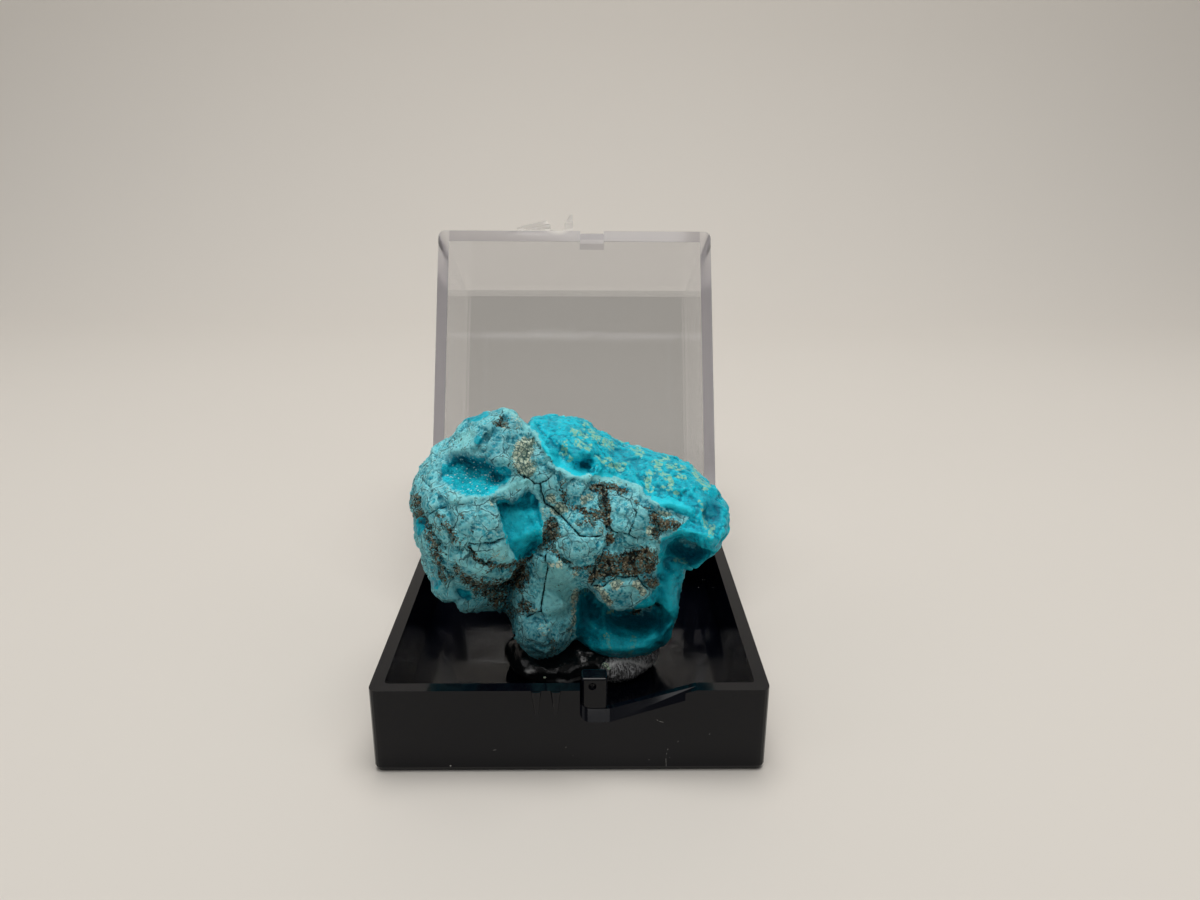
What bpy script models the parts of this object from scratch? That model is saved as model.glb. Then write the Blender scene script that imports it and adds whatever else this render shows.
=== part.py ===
"""Raw chrysocolla specimen fixed in a thumbnail display box with a hinged clear lid.

Frame: metres, +Z up, front of the box towards -Y, origin at the centre of the
tray's underside.  The lid is modelled open, leaning back on its hinge.
"""

import math

import bmesh
import bpy
from mathutils import Matrix, Vector

MM = 0.001

# ---------------------------------------------------------------- dimensions
BOX_W = 32.0 * MM          # tray, side to side
BOX_D = 33.0 * MM          # tray, front to back
TRAY_H = 7.7 * MM          # height of the tray's rim
TRAY_WALL = 1.1 * MM
TRAY_FLOOR = 1.2 * MM
CORNER_R = 0.7 * MM        # upright corners of tray and lid
FOOT_R = 0.5 * MM          # edge under the tray

LID_W = 31.0 * MM          # lid, side to side
LID_H = 22.0 * MM          # closed lid's top above the tray's rim
LID_WALL = 1.2 * MM
LID_GAP = 0.3 * MM         # between lid and rim when closed
LID_LEAN = 27.0            # degrees past upright when open

AXIS_IN = 1.5 * MM         # hinge axis, in from the rear face
AXIS_UP = 2.55 * MM        # hinge axis, above the rim
PIN_R = 0.70 * MM
HOLE_R = 0.76 * MM
LUG_X0, LUG_X1 = 12.6 * MM, 14.0 * MM
LUG_R = 1.4 * MM
PIN_X1 = 15.3 * MM

CUT_LEFT = 0.8 * MM        # thumb recess in the front wall
CUT_RIGHT = 10.1 * MM
CUT_DEPTH = 2.1 * MM
POST_X, POST_R = 1.95 * MM, 1.05 * MM
POST_IN = 0.65 * MM        # the post's front, in from the wall's face
POST_DEEP = 1.5 * MM
POST_UP = 0.65 * MM
BEVEL_IN, BEVEL_DOWN = 0.6 * MM, 0.85 * MM   # slant in front of the recess
RIB_XS = (-2.67 * MM, -1.12 * MM)

TAB_X0, TAB_X1 = -8.2 * MM, -0.2 * MM
TAB_OUT = 1.25 * MM        # how far the lid's tab stands out in front
TAB_DOWN = 1.5 * MM        # how far it hangs below the rim
SCOOP_X, SCOOP_R = -1.95 * MM, 1.35 * MM

AXIS = Vector((0.0, BOX_D / 2 - AXIS_IN, TRAY_H + AXIS_UP))

# the stone's masses, in mm: centre, radii, turn about the front-to-back axis
STONE_MASSES = (
    # left head with its peak and the lump under it
    ((-8.0, -4.5, 18.4), (5.9, 7.5, 6.4), 0),
    ((-10.2, -4.0, 12.5), (3.5, 5.5, 3.4), 0),
    ((-6.2, -3.0, 23.8), (3.6, 5.5, 3.0), -20),
    ((-6.8, -1.0, 10.0), (4.0, 5.0, 3.4), 0),
    # crest and shoulder, falling to the right
    ((-1.0, -1.0, 21.8), (4.8, 7.5, 3.4), 0),
    ((6.5, -2.5, 18.2), (5.8, 7.5, 4.2), 16),
    ((11.0, -5.5, 16.9), (2.6, 5.5, 3.2), 20),
    # body
    ((0.8, -3.5, 16.8), (6.0, 7.0, 6.0), 0),
    ((8.6, -1.5, 10.4), (2.4, 5.5, 5.4), 8),
    ((-2.4, -4.8, 9.2), (3.2, 4.3, 5.2), 0),
    ((4.6, -1.5, 6.8), (5.2, 5.2, 3.7), 0),
    ((4.0, -6.3, 14.0), (3.6, 3.6, 2.7), 0),
    # back, out of sight from the front
    ((0.0, 4.0, 16.2), (10.5, 6.5, 6.6), 6),
    ((1.2, 3.0, 9.3), (7.8, 6.5, 5.2), 0),
)
# hollows cut in the stone, in mm: centre, radii, turn
STONE_HOLLOWS = (
    ((-7.0, -12.3, 23.0), (2.9, 4.0, 2.3), 20),      # sparkling hollow in the head
    ((-4.1, -12.0, 19.4), (1.8, 4.4, 2.9), -6),      # sharp pit beside it
    ((9.4, -9.6, 15.9), (2.1, 3.6, 1.4), 24),        # alcove under the right end
    ((4.9, -8.0, 9.1), (4.2, 5.6, 2.6), 0),          # large alcove over the putty
)
STONE_GRAIN = 0.5 * MM
TACK_GAP = 0.3 * MM


# ---------------------------------------------------------------- helpers
def clear_scene():
    for obj in list(bpy.data.objects):
        bpy.data.objects.remove(obj, do_unlink=True)


def collection(name):
    coll = bpy.data.collections.new(name)
    bpy.context.scene.collection.children.link(coll)
    return coll


def material(name, colour, roughness, alpha=1.0, transmission=0.0):
    mat = bpy.data.materials.new(name)
    mat.use_nodes = True
    bsdf = mat.node_tree.nodes["Principled BSDF"]
    bsdf.inputs["Base Color"].default_value = (*colour, 1.0)
    bsdf.inputs["Roughness"].default_value = roughness
    bsdf.inputs["Metallic"].default_value = 0.0
    bsdf.inputs["Transmission Weight"].default_value = transmission
    bsdf.inputs["Alpha"].default_value = alpha
    mat.diffuse_color = (*colour, alpha)
    return mat


def add(name, bm, coll, mat=None, smooth_angle=None):
    bmesh.ops.recalc_face_normals(bm, faces=bm.faces[:])
    mesh = bpy.data.meshes.new(name)
    bm.to_mesh(mesh)
    bm.free()
    obj = bpy.data.objects.new(name, mesh)
    coll.objects.link(obj)
    if mat is not None:
        mesh.materials.append(mat)
    if smooth_angle is not None:
        mesh.shade_smooth()
        mesh.set_sharp_from_angle(angle=math.radians(smooth_angle))
    return obj


def cutter(name, bm, coll):
    obj = add(name, bm, coll)
    obj.hide_render = True
    obj.display_type = "WIRE"
    return obj


def boolean(obj, other, operation):
    mod = obj.modifiers.new(other.name, "BOOLEAN")
    mod.operation = operation
    mod.solver = "EXACT"
    mod.object = other
    return mod


def block(x0, x1, y0, y1, z0, z1):
    bm = bmesh.new()
    bmesh.ops.create_cube(bm, size=1.0)
    for v in bm.verts:
        v.co = Vector((
            x0 if v.co.x < 0 else x1,
            y0 if v.co.y < 0 else y1,
            z0 if v.co.z < 0 else z1,
        ))
    return bm


def round_uprights(bm, radius, segments=4):
    edges = [e for e in bm.edges
             if abs(e.verts[0].co.z - e.verts[1].co.z) > 1e-6]
    bmesh.ops.bevel(bm, geom=edges, offset=radius, segments=segments,
                    profile=0.5, affect="EDGES")


def round_rim(bm, z, radius, segments=3):
    edges = [e for e in bm.edges
             if all(abs(v.co.z - z) < 1e-6 for v in e.verts)]
    bmesh.ops.bevel(bm, geom=edges, offset=radius, segments=segments,
                    profile=0.5, affect="EDGES")


def cylinder(radius, depth, centre, axis, segments=32):
    bm = bmesh.new()
    turn = {"X": Matrix.Rotation(math.pi / 2, 4, "Y"),
            "Y": Matrix.Rotation(math.pi / 2, 4, "X"),
            "Z": Matrix.Identity(4)}[axis]
    bmesh.ops.create_cone(bm, cap_ends=True, segments=segments,
                          radius1=radius, radius2=radius, depth=depth,
                          matrix=Matrix.Translation(centre) @ turn)
    return bm


def prism(outline, y0, y1):
    """A flat outline in X and Z, extruded from y0 to y1."""
    bm = bmesh.new()
    ring = [bm.verts.new((x, y0, z)) for x, z in outline]
    face = bm.faces.new(ring)
    out = bmesh.ops.extrude_face_region(bm, geom=[face])
    for v in out["geom"]:
        if isinstance(v, bmesh.types.BMVert):
            v.co.y = y1
    return bm


def flared(inner, outer, y_inner, y_outer):
    """Outline inner at y_inner, widening to outer at y_outer and on past it by
    as much again."""
    last = [(2 * bx - ax, 2 * bz - az)
            for (ax, az), (bx, bz) in zip(inner, outer)]
    y_last = 2 * y_outer - y_inner
    bm = prism(last, y_last, y_inner)
    for v in bm.verts:
        if abs(v.co.y - y_inner) < 1e-7:
            k = min(range(len(last)), key=lambda n: (last[n][0] - v.co.x) ** 2
                    + (last[n][1] - v.co.z) ** 2)
            v.co.x, v.co.z = inner[k]
    return bm


def ellipsoids(bm, items, subdivisions, grow=0.0):
    for centre, radii, turn in items:
        matrix = (Matrix.Translation(Vector(centre) * MM)
                  @ Matrix.Rotation(math.radians(turn), 4, "Y")
                  @ Matrix.Diagonal([*(r * MM + grow for r in radii), 1.0]))
        bmesh.ops.create_icosphere(bm, subdivisions=subdivisions, radius=1.0,
                                   matrix=matrix)


# ---------------------------------------------------------------- tray
def recess_outline(depth, left, right, extra):
    """Recess in the front wall: upright on the left, a rounded lower corner,
    then a straight ramp up to the rim on the right."""
    top = TRAY_H + 2 * MM
    base = TRAY_H - depth
    radius = 0.9 * MM
    pts = [(left, top), (left, base + radius)]
    for k in range(1, 6):
        a = math.radians(180 + 18 * k)
        pts.append((left + radius + radius * math.cos(a),
                    base + radius + radius * math.sin(a)))
    flat = 2.4 * MM
    pts.append((left + flat, base + 0.02 * MM))
    pts.append((right, TRAY_H - extra))
    pts.append((right, top))
    return pts


def make_tray(parts, cutters, mat):
    hx, hy = BOX_W / 2, BOX_D / 2
    bm = block(-hx, hx, -hy, hy, 0.0, TRAY_H)
    round_uprights(bm, CORNER_R)
    round_rim(bm, 0.0, FOOT_R, 2)
    tray = add("tray", bm, parts, mat, 30)

    w = TRAY_WALL
    bm = block(-hx + w, hx - w, -hy + w, hy - w, TRAY_FLOOR, TRAY_H + 5 * MM)
    round_uprights(bm, 0.35 * MM, 3)
    boolean(tray, cutter("tray_inside", bm, cutters), "DIFFERENCE")

    # recess and the bevel along its front edge
    bm = prism(recess_outline(CUT_DEPTH, CUT_LEFT, CUT_RIGHT, 0.0),
               -hy - 1 * MM, -hy + w + 0.4 * MM)
    boolean(tray, cutter("recess", bm, cutters), "DIFFERENCE")
    bm = flared(recess_outline(CUT_DEPTH - 0.02 * MM, CUT_LEFT, CUT_RIGHT, 0.0),
                recess_outline(CUT_DEPTH + BEVEL_DOWN, CUT_LEFT,
                               CUT_RIGHT - 0.9 * MM, 0.95 * MM),
                -hy + BEVEL_IN, -hy)
    boolean(tray, cutter("recess_bevel", bm, cutters), "DIFFERENCE")

    # squared post standing in the recess, its face just behind the bevel
    z0 = TRAY_H - 3.6 * MM
    z1 = TRAY_H + POST_UP
    bm = block(POST_X - POST_R, POST_X + POST_R,
               -hy + POST_IN, -hy + POST_IN + POST_DEEP, z0, z1)
    round_uprights(bm, 0.24 * MM, 3)
    round_rim(bm, z1, 0.14 * MM, 2)
    boolean(tray, cutter("post", bm, cutters), "UNION")
    bm = bmesh.new()
    bmesh.ops.create_icosphere(
        bm, subdivisions=2, radius=0.34 * MM,
        matrix=Matrix.Translation((POST_X - 0.15 * MM, -hy + POST_IN,
                                   TRAY_H - 0.05 * MM)))
    boolean(tray, cutter("post_dimple", bm, cutters), "DIFFERENCE")

    # two upright ribs under the rim
    for n, x in enumerate(RIB_XS):
        bm = bmesh.new()
        bmesh.ops.create_cone(
            bm, cap_ends=True, segments=16, radius1=0.14 * MM,
            radius2=0.42 * MM, depth=2.15 * MM,
            matrix=Matrix.Translation((x, -hy + 0.01 * MM, TRAY_H - 1.105 * MM))
            @ Matrix.Diagonal((1.0, 0.62, 1.0, 1.0)))
        boolean(tray, cutter(f"rib_{n}", bm, cutters), "UNION")

    # hinge lugs inside the rear corners, each with a pin pointing outwards
    for side, sign in (("left", -1), ("right", 1)):
        xs = sorted((sign * LUG_X0, sign * LUG_X1))
        bm = block(xs[0], xs[1], AXIS.y - LUG_R, AXIS.y + LUG_R - 0.1 * MM,
                   TRAY_H - 4.5 * MM, AXIS.z)
        boolean(tray, cutter(f"lug_{side}", bm, cutters), "UNION")
        bm = cylinder(LUG_R, LUG_X1 - LUG_X0,
                      (sign * (LUG_X0 + LUG_X1) / 2, AXIS.y, AXIS.z), "X", 24)
        boolean(tray, cutter(f"lug_top_{side}", bm, cutters), "UNION")
        length = PIN_X1 - LUG_X1 + 0.4 * MM
        bm = cylinder(PIN_R, length,
                      (sign * (PIN_X1 - length / 2), AXIS.y, AXIS.z), "X", 32)
        boolean(tray, cutter(f"pin_{side}", bm, cutters), "UNION")
    return tray


# ---------------------------------------------------------------- lid
def make_lid(parts, cutters, mat):
    """Drawn closed, in a frame whose origin is the hinge axis, then turned."""
    rear = AXIS_IN
    front = AXIS_IN - BOX_D
    low = LID_GAP - AXIS_UP
    high = LID_H - AXIS_UP
    hx = LID_W / 2
    t = LID_WALL
    bm = block(-hx, hx, front, rear, low, high)
    round_uprights(bm, CORNER_R)
    round_rim(bm, high, 0.45 * MM, 3)
    lid = add("lid", bm, parts, mat, 30)

    pivot = bpy.data.objects.new("lid_pivot", None)
    parts.objects.link(pivot)
    pivot.location = AXIS
    pivot.rotation_euler = (math.radians(-(90.0 + LID_LEAN)), 0.0, 0.0)
    lid.parent = pivot

    def cut(name, bm, operation="DIFFERENCE"):
        obj = cutter(name, bm, cutters)
        obj.parent = pivot
        boolean(lid, obj, operation)

    # lip and tongue of the tab, tapering to nothing on the left
    bm = block(TAB_X0, TAB_X1, front - TAB_OUT, front + 0.5 * MM,
               low + 0.05 * MM, low + 1.3 * MM)
    for v in bm.verts:
        if v.co.x < TAB_X0 + 1e-6:
            if v.co.y < front:
                v.co.y = front - 0.02 * MM
            if v.co.z < low + 0.5 * MM:
                v.co.z = low + 1.0 * MM
    cut("tab_lip", bm, "UNION")
    bm = block(TAB_X0 + 1.6 * MM, TAB_X1 - 0.05 * MM, front - TAB_OUT + 0.03 * MM,
               front - 0.35 * MM, low - LID_GAP - TAB_DOWN, low + 0.7 * MM)
    for v in bm.verts:
        if v.co.x < TAB_X0 + 1.7 * MM:
            if v.co.z < low:
                v.co.z = low + 0.3 * MM
            if v.co.y < front - 0.5 * MM:
                v.co.y = front - 0.55 * MM
    cut("tab_tongue", bm, "UNION")

    cut("lid_inside",
        block(-hx + t, hx - t, front + t, rear - t, low - 5 * MM, high - t))
    # upright scoop that clears the ribs
    cut("tab_scoop", cylinder(SCOOP_R, 8 * MM,
                              (SCOOP_X, front - SCOOP_R - 0.06 * MM, low), "Z", 32))
    # notch over the post
    cut("post_notch", block(POST_X - POST_R - 0.3 * MM, POST_X + POST_R + 0.3 * MM,
                            front - 1 * MM, front + t + 1 * MM,
                            low - 1 * MM, POST_UP + 0.4 * MM - AXIS_UP))
    # rear wall: raised lower edge, deeper over the lugs
    cut("rear_edge", block(-hx - 1 * MM, hx + 1 * MM, rear - t - 0.02 * MM,
                           rear + 1 * MM, low - 1 * MM, 0.7 * MM - AXIS_UP))
    for side, sign in (("left", -1), ("right", 1)):
        xs = sorted((sign * (LUG_X0 - 0.3 * MM), sign * (hx - t + 0.02 * MM)))
        cut(f"lug_notch_{side}", block(xs[0], xs[1], rear - t - 1 * MM,
                                       rear + 1 * MM, low - 1 * MM, 2.8 * MM))
    # side walls: rounded round the axis below the hinge
    swing = 2.25 * MM
    corner = bmesh.new()
    pts = [(swing * math.cos(math.radians(a)), swing * math.sin(math.radians(a)))
           for a in range(-90, -44, 9)]
    last = pts[-1]
    outline = [(0.0, -3 * MM), (0.0, -swing - 0.001 * MM)] + pts[1:] \
        + [(rear + 0.6 * MM, last[1] + 0.1 * MM), (rear + 0.6 * MM, -3 * MM)]
    ring = [corner.verts.new((-hx - 1 * MM, y, z)) for y, z in outline]
    face = corner.faces.new(ring)
    out = bmesh.ops.extrude_face_region(corner, geom=[face])
    for v in out["geom"]:
        if isinstance(v, bmesh.types.BMVert):
            v.co.x = hx + 1 * MM
    cut("swing_corner", corner)
    cut("hinge_hole", cylinder(HOLE_R, LID_W + 4 * MM, (0, 0, 0), "X", 32))
    return lid


# ---------------------------------------------------------------- stone
def stone_modifiers(obj, cutters_made, share, grow=0.0):
    mod = obj.modifiers.new("join", "REMESH")
    mod.mode = "VOXEL"
    mod.voxel_size = STONE_GRAIN
    mod = obj.modifiers.new("soften", "SMOOTH")
    mod.factor = 0.5
    mod.iterations = 10
    for c in cutters_made:
        boolean(obj, c, "DIFFERENCE")
    mod = obj.modifiers.new("even", "REMESH")
    mod.mode = "VOXEL"
    mod.voxel_size = STONE_GRAIN
    mod = obj.modifiers.new("wear", "SMOOTH")
    mod.factor = 0.5
    mod.iterations = 3
    if grow:
        mod = obj.modifiers.new("clearance", "DISPLACE")
        mod.strength = grow
        mod.mid_level = 0.0
        mod.direction = "NORMAL"
    mod = obj.modifiers.new("facets", "DECIMATE")
    mod.decimate_type = "COLLAPSE"
    mod.ratio = share
    mod.use_collapse_triangulate = True


def make_stone(parts, cutters, mat):
    hollows = []
    for n, item in enumerate(STONE_HOLLOWS):
        bm = bmesh.new()
        ellipsoids(bm, [item], 3)
        hollows.append(cutter(f"hollow_{n}", bm, cutters))
    bm = bmesh.new()
    ellipsoids(bm, STONE_MASSES, 4)
    stone = add("chrysocolla", bm, parts, mat)
    stone_modifiers(stone, hollows, 0.24)
    bm = bmesh.new()
    ellipsoids(bm, STONE_MASSES, 4)
    outer = cutter("stone_clearance", bm, cutters)
    stone_modifiers(outer, hollows, 0.2, grow=TACK_GAP)
    return stone, outer


# ---------------------------------------------------------------- putty
TACK_LUMPS = (
    ((-1.8, -2.2, 2.6), (4.6, 4.9, 2.2), 0),
    ((3.6, -2.0, 2.9), (4.7, 4.6, 2.4), 0),
    ((0.8, 2.0, 2.8), (6.0, 4.6, 2.3), 0),
    ((1.0, 0.0, 3.2), (5.0, 5.0, 2.4), 0),
)


def make_tack(parts, cutters, mat, stone_clearance):
    bm = bmesh.new()
    ellipsoids(bm, TACK_LUMPS, 3)
    tack = add("mounting_putty", bm, parts, mat)
    mod = tack.modifiers.new("join", "REMESH")
    mod.mode = "VOXEL"
    mod.voxel_size = 0.45 * MM
    mod = tack.modifiers.new("soften", "SMOOTH")
    mod.iterations = 8
    mod = tack.modifiers.new("facets", "DECIMATE")
    mod.ratio = 0.3
    bm = block(-15 * MM, 15 * MM, -15 * MM, 15 * MM, -5 * MM,
               TRAY_FLOOR + TACK_GAP)
    boolean(tack, cutter("floor_clearance", bm, cutters), "DIFFERENCE")
    boolean(tack, stone_clearance, "DIFFERENCE")
    return tack


# ---------------------------------------------------------------- assembly
def main():
    clear_scene()
    parts = collection("raw_chrysocolla")
    cutters = collection("cutters")
    black = material("black_polystyrene", (0.012, 0.012, 0.014), 0.12)
    clear = material("clear_polystyrene", (0.93, 0.94, 0.94), 0.04,
                     alpha=0.25, transmission=1.0)
    blue = material("chrysocolla_stone", (0.08, 0.42, 0.48), 0.6)
    putty = material("clear_putty", (0.10, 0.11, 0.12), 0.25)
    make_tray(parts, cutters, black)
    make_lid(parts, cutters, clear)
    stone, outer = make_stone(parts, cutters, blue)
    make_tack(parts, cutters, putty, outer)


main()
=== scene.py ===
import math

import bmesh
import bpy
import numpy as np
from mathutils import Matrix, Vector


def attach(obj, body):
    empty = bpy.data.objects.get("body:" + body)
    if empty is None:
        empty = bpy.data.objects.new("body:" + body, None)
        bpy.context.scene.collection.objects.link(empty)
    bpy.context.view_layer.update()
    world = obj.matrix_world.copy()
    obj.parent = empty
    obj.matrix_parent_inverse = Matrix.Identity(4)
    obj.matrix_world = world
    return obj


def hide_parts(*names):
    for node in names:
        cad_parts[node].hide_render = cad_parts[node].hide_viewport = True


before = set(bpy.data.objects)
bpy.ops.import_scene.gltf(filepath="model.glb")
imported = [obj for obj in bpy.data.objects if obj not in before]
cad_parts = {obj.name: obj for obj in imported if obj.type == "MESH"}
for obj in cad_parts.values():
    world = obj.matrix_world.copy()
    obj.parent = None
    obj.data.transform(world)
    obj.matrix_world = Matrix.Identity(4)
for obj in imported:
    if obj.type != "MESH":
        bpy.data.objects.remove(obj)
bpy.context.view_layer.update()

MM = 0.001

# ------------------------------------------------------------------ camera
# The place the specimen is seen from, in mm and degrees, for a frame 1200 wide.
FOCAL = 896.5
EYE = np.array([1.181, -77.604, 48.576])
PITCH, YAW, ROLL = np.radians([18.745, 1.016, 0.393])


def eye_axes():
    cp, sp = math.cos(PITCH), math.sin(PITCH)
    cy, sy = math.cos(YAW), math.sin(YAW)
    cr, sr = math.cos(ROLL), math.sin(ROLL)
    ahead = np.array([sy * cp, cy * cp, -sp])
    right = np.array([cy, -sy, 0.0])
    up = np.cross(right, ahead)
    return right * cr + up * sr, -right * sr + up * cr, ahead


RIGHT, UP, AHEAD = eye_axes()


def make_camera():
    cam = bpy.data.objects.new("camera", bpy.data.cameras.new("camera"))
    bpy.context.scene.collection.objects.link(cam)
    cam.data.sensor_fit = "HORIZONTAL"
    cam.data.sensor_width = 36.0
    cam.data.lens = FOCAL * 36.0 / 1200.0
    cam.data.clip_start = 0.002
    cam.data.clip_end = 10.0
    m = Matrix.Identity(4)
    for i in range(3):
        m[i][0], m[i][1], m[i][2] = RIGHT[i], UP[i], -AHEAD[i]
        m[i][3] = EYE[i] * MM
    cam.matrix_world = m
    bpy.context.scene.camera = cam


# ------------------------------------------------------------------ numbers
def to_front(p):
    """Place of points (mm) on the front drawing, in its 1200 x 900 units, and
    their distance ahead of the eye in mm."""
    d = p - EYE
    z = d @ AHEAD
    return 600 + FOCAL * (d @ RIGHT) / z, 450 - FOCAL * (d @ UP) / z, z


def smoothstep(a, b, x):
    t = np.clip((x - a) / (b - a), 0.0, 1.0)
    return t * t * (3 - 2 * t)


def mix(a, b, t):
    return a + (b - a) * t


def smin(a, b, k):
    h = np.clip(0.5 + 0.5 * (b - a) / k, 0, 1)
    return b + (a - b) * h - k * h * (1 - h)


def smax(a, b, k):
    return -smin(-a, -b, k)


def _hash(ix, iy, iz, seed):
    h = (ix.astype(np.int64) * 374761393 + iy.astype(np.int64) * 668265263
         + iz.astype(np.int64) * 2147483647 + seed * 1274126177) & 0xFFFFFFFF
    h = ((h ^ (h >> 13)) * 1274126177) & 0xFFFFFFFF
    h = ((h ^ (h >> 16)) * 2246822519) & 0xFFFFFFFF
    h ^= h >> 15
    return (h & 0xFFFFFF).astype(np.float32) / 16777215.0


def noise(p, size, seed=0):
    """Smooth value noise from -1 to 1 with bumps about size mm across."""
    q = p / size + seed * 17.31
    i = np.floor(q).astype(np.int64)
    f = (q - i).astype(np.float32)
    f = f * f * f * (f * (f * 6 - 15) + 10)
    out = 0
    for dx in (0, 1):
        wx = f[:, 0] if dx else 1 - f[:, 0]
        for dy in (0, 1):
            wy = f[:, 1] if dy else 1 - f[:, 1]
            for dz in (0, 1):
                wz = f[:, 2] if dz else 1 - f[:, 2]
                out = out + wx * wy * wz * _hash(i[:, 0] + dx, i[:, 1] + dy,
                                                 i[:, 2] + dz, seed)
    return out * 2 - 1


def fbm(p, size, octaves=4, seed=0, gain=0.5):
    total, amp, norm = 0, 1.0, 0.0
    for k in range(octaves):
        total = total + amp * noise(p, size, seed + k * 7)
        norm += amp
        amp *= gain
        size *= 0.5
    return total / norm


def cells(p, size, seed=0, jitter=0.9):
    """Nearest and second nearest seed distances in cell units, and a number
    from 0 to 1 for the nearest cell."""
    q = p / size
    i = np.floor(q).astype(np.int64)
    f1 = np.full(len(p), 9.0, np.float32)
    f2 = np.full(len(p), 9.0, np.float32)
    who = np.zeros(len(p), np.float32)
    for dx in (-1, 0, 1):
        for dy in (-1, 0, 1):
            for dz in (-1, 0, 1):
                c = i + (dx, dy, dz)
                s = [_hash(c[:, 0], c[:, 1], c[:, 2], seed + n) for n in (1, 2, 3)]
                d2 = sum((c[:, n] + 0.5 + (s[n] - 0.5) * jitter - q[:, n]) ** 2
                         for n in range(3))
                d = np.sqrt(d2).astype(np.float32)
                near = d < f1
                f2 = np.where(near, f1, np.minimum(f2, d))
                who = np.where(near, s[0] * 0.5 + s[1] * 0.5, who)
                f1 = np.where(near, d, f1)
    return f1, f2, who


def facets(p, size, seed=0, edge=0.10):
    """Height of flat chips about size across, each tipped its own way, from
    about -1 to 1, with the distance to the nearest joint in cell units."""
    q = p / size
    i = np.floor(q).astype(np.int64)
    f1 = np.full(len(p), 9.0, np.float32)
    f2 = np.full(len(p), 9.0, np.float32)
    height = np.zeros(len(p), np.float32)
    for dx in (-1, 0, 1):
        for dy in (-1, 0, 1):
            for dz in (-1, 0, 1):
                c = i + (dx, dy, dz)
                s = [_hash(c[:, 0], c[:, 1], c[:, 2], seed + n) for n in range(1, 8)]
                r = [(q[:, n] - c[:, n] - 0.5 - (s[n] - 0.5) * 0.9) for n in range(3)]
                d = np.sqrt(r[0] ** 2 + r[1] ** 2 + r[2] ** 2).astype(np.float32)
                h = (sum(r[n] * (s[3 + n] - 0.5) for n in range(3)) * 2.6
                     + (s[6] - 0.5) * 0.9)
                near = d < f1
                f2 = np.where(near, f1, np.minimum(f2, d))
                height = np.where(near, h, height)
                f1 = np.where(near, d, f1)
    gap = f2 - f1
    return height * smoothstep(0.0, edge, gap), gap


# ------------------------------------------------------------------ drawing
# Features of the stone's front are drawn on a sheet with the units of to_front.
X0, X1, Y0, Y1 = 396, 740, 396, 712
GX, GY = np.meshgrid(np.arange(X0, X1, dtype=np.float32),
                     np.arange(Y0, Y1, dtype=np.float32), indexing="ij")


def sheet(value=0.0):
    return np.full(GX.shape, value, np.float32)


def read(sheet_, px, py):
    """The sheet's value at points, smoothly between its own."""
    x = np.clip(px - X0, 0, GX.shape[0] - 1.001)
    y = np.clip(py - Y0, 0, GX.shape[1] - 1.001)
    i, j = x.astype(int), y.astype(int)
    fx, fy = (x - i), (y - j)
    return ((sheet_[i, j] * (1 - fx) + sheet_[i + 1, j] * fx) * (1 - fy)
            + (sheet_[i, j + 1] * (1 - fx) + sheet_[i + 1, j + 1] * fx) * fy)


def soften(sheet_, times=1):
    for _ in range(times):
        p = np.pad(sheet_, 1, mode="edge")
        sheet_ = (p[:-2, 1:-1] + p[2:, 1:-1] + p[1:-1, :-2] + p[1:-1, 2:]
                  + 4 * p[1:-1, 1:-1]) / 8
    return sheet_


def line_distance(points, closed=False):
    pts = list(points) + ([points[0]] if closed else [])
    best = np.full(GX.shape, 1e6, np.float32)
    for (ax, ay), (bx, by) in zip(pts[:-1], pts[1:]):
        dx, dy = bx - ax, by - ay
        t = np.clip(((GX - ax) * dx + (GY - ay) * dy) / (dx * dx + dy * dy + 1e-9),
                    0, 1)
        best = np.minimum(best, np.hypot(GX - ax - t * dx, GY - ay - t * dy))
    return best


def area_distance(points):
    """Signed distance to a closed outline, negative inside."""
    inside = np.zeros(GX.shape, bool)
    n = len(points)
    for k in range(n):
        (ax, ay), (bx, by) = points[k], points[(k + 1) % n]
        if ay == by:
            continue
        hit = ((GY < ay) != (GY < by)) & (
            GX < (bx - ax) * (GY - ay) / (by - ay) + ax)
        inside ^= hit
    d = line_distance(points, closed=True)
    return np.where(inside, -d, d)


def stroke(points, width, edge=1.5):
    """1 on a line of that half width, falling to 0 over edge."""
    return 1 - smoothstep(width - edge, width + edge, line_distance(points))


def groove(points, width):
    d = line_distance(points)
    return np.exp(-(d / width) ** 2)


def patch(points, edge=3.0):
    return 1 - smoothstep(-edge, edge, area_distance(points))


def dab(cx, cy, rx, ry=None, turn=0.0, edge=0.5):
    """1 in the middle of an oval, falling to 0 at its edge and past it."""
    ry = rx if ry is None else ry
    a = math.radians(turn)
    u = ((GX - cx) * math.cos(a) + (GY - cy) * math.sin(a)) / rx
    v = (-(GX - cx) * math.sin(a) + (GY - cy) * math.cos(a)) / ry
    r = np.sqrt(u * u + v * v)
    return 1 - smoothstep(1 - edge, 1 + edge, r)


def over(sheet_, *others):
    for o in others:
        sheet_ = np.maximum(sheet_, o)
    return sheet_


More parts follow.
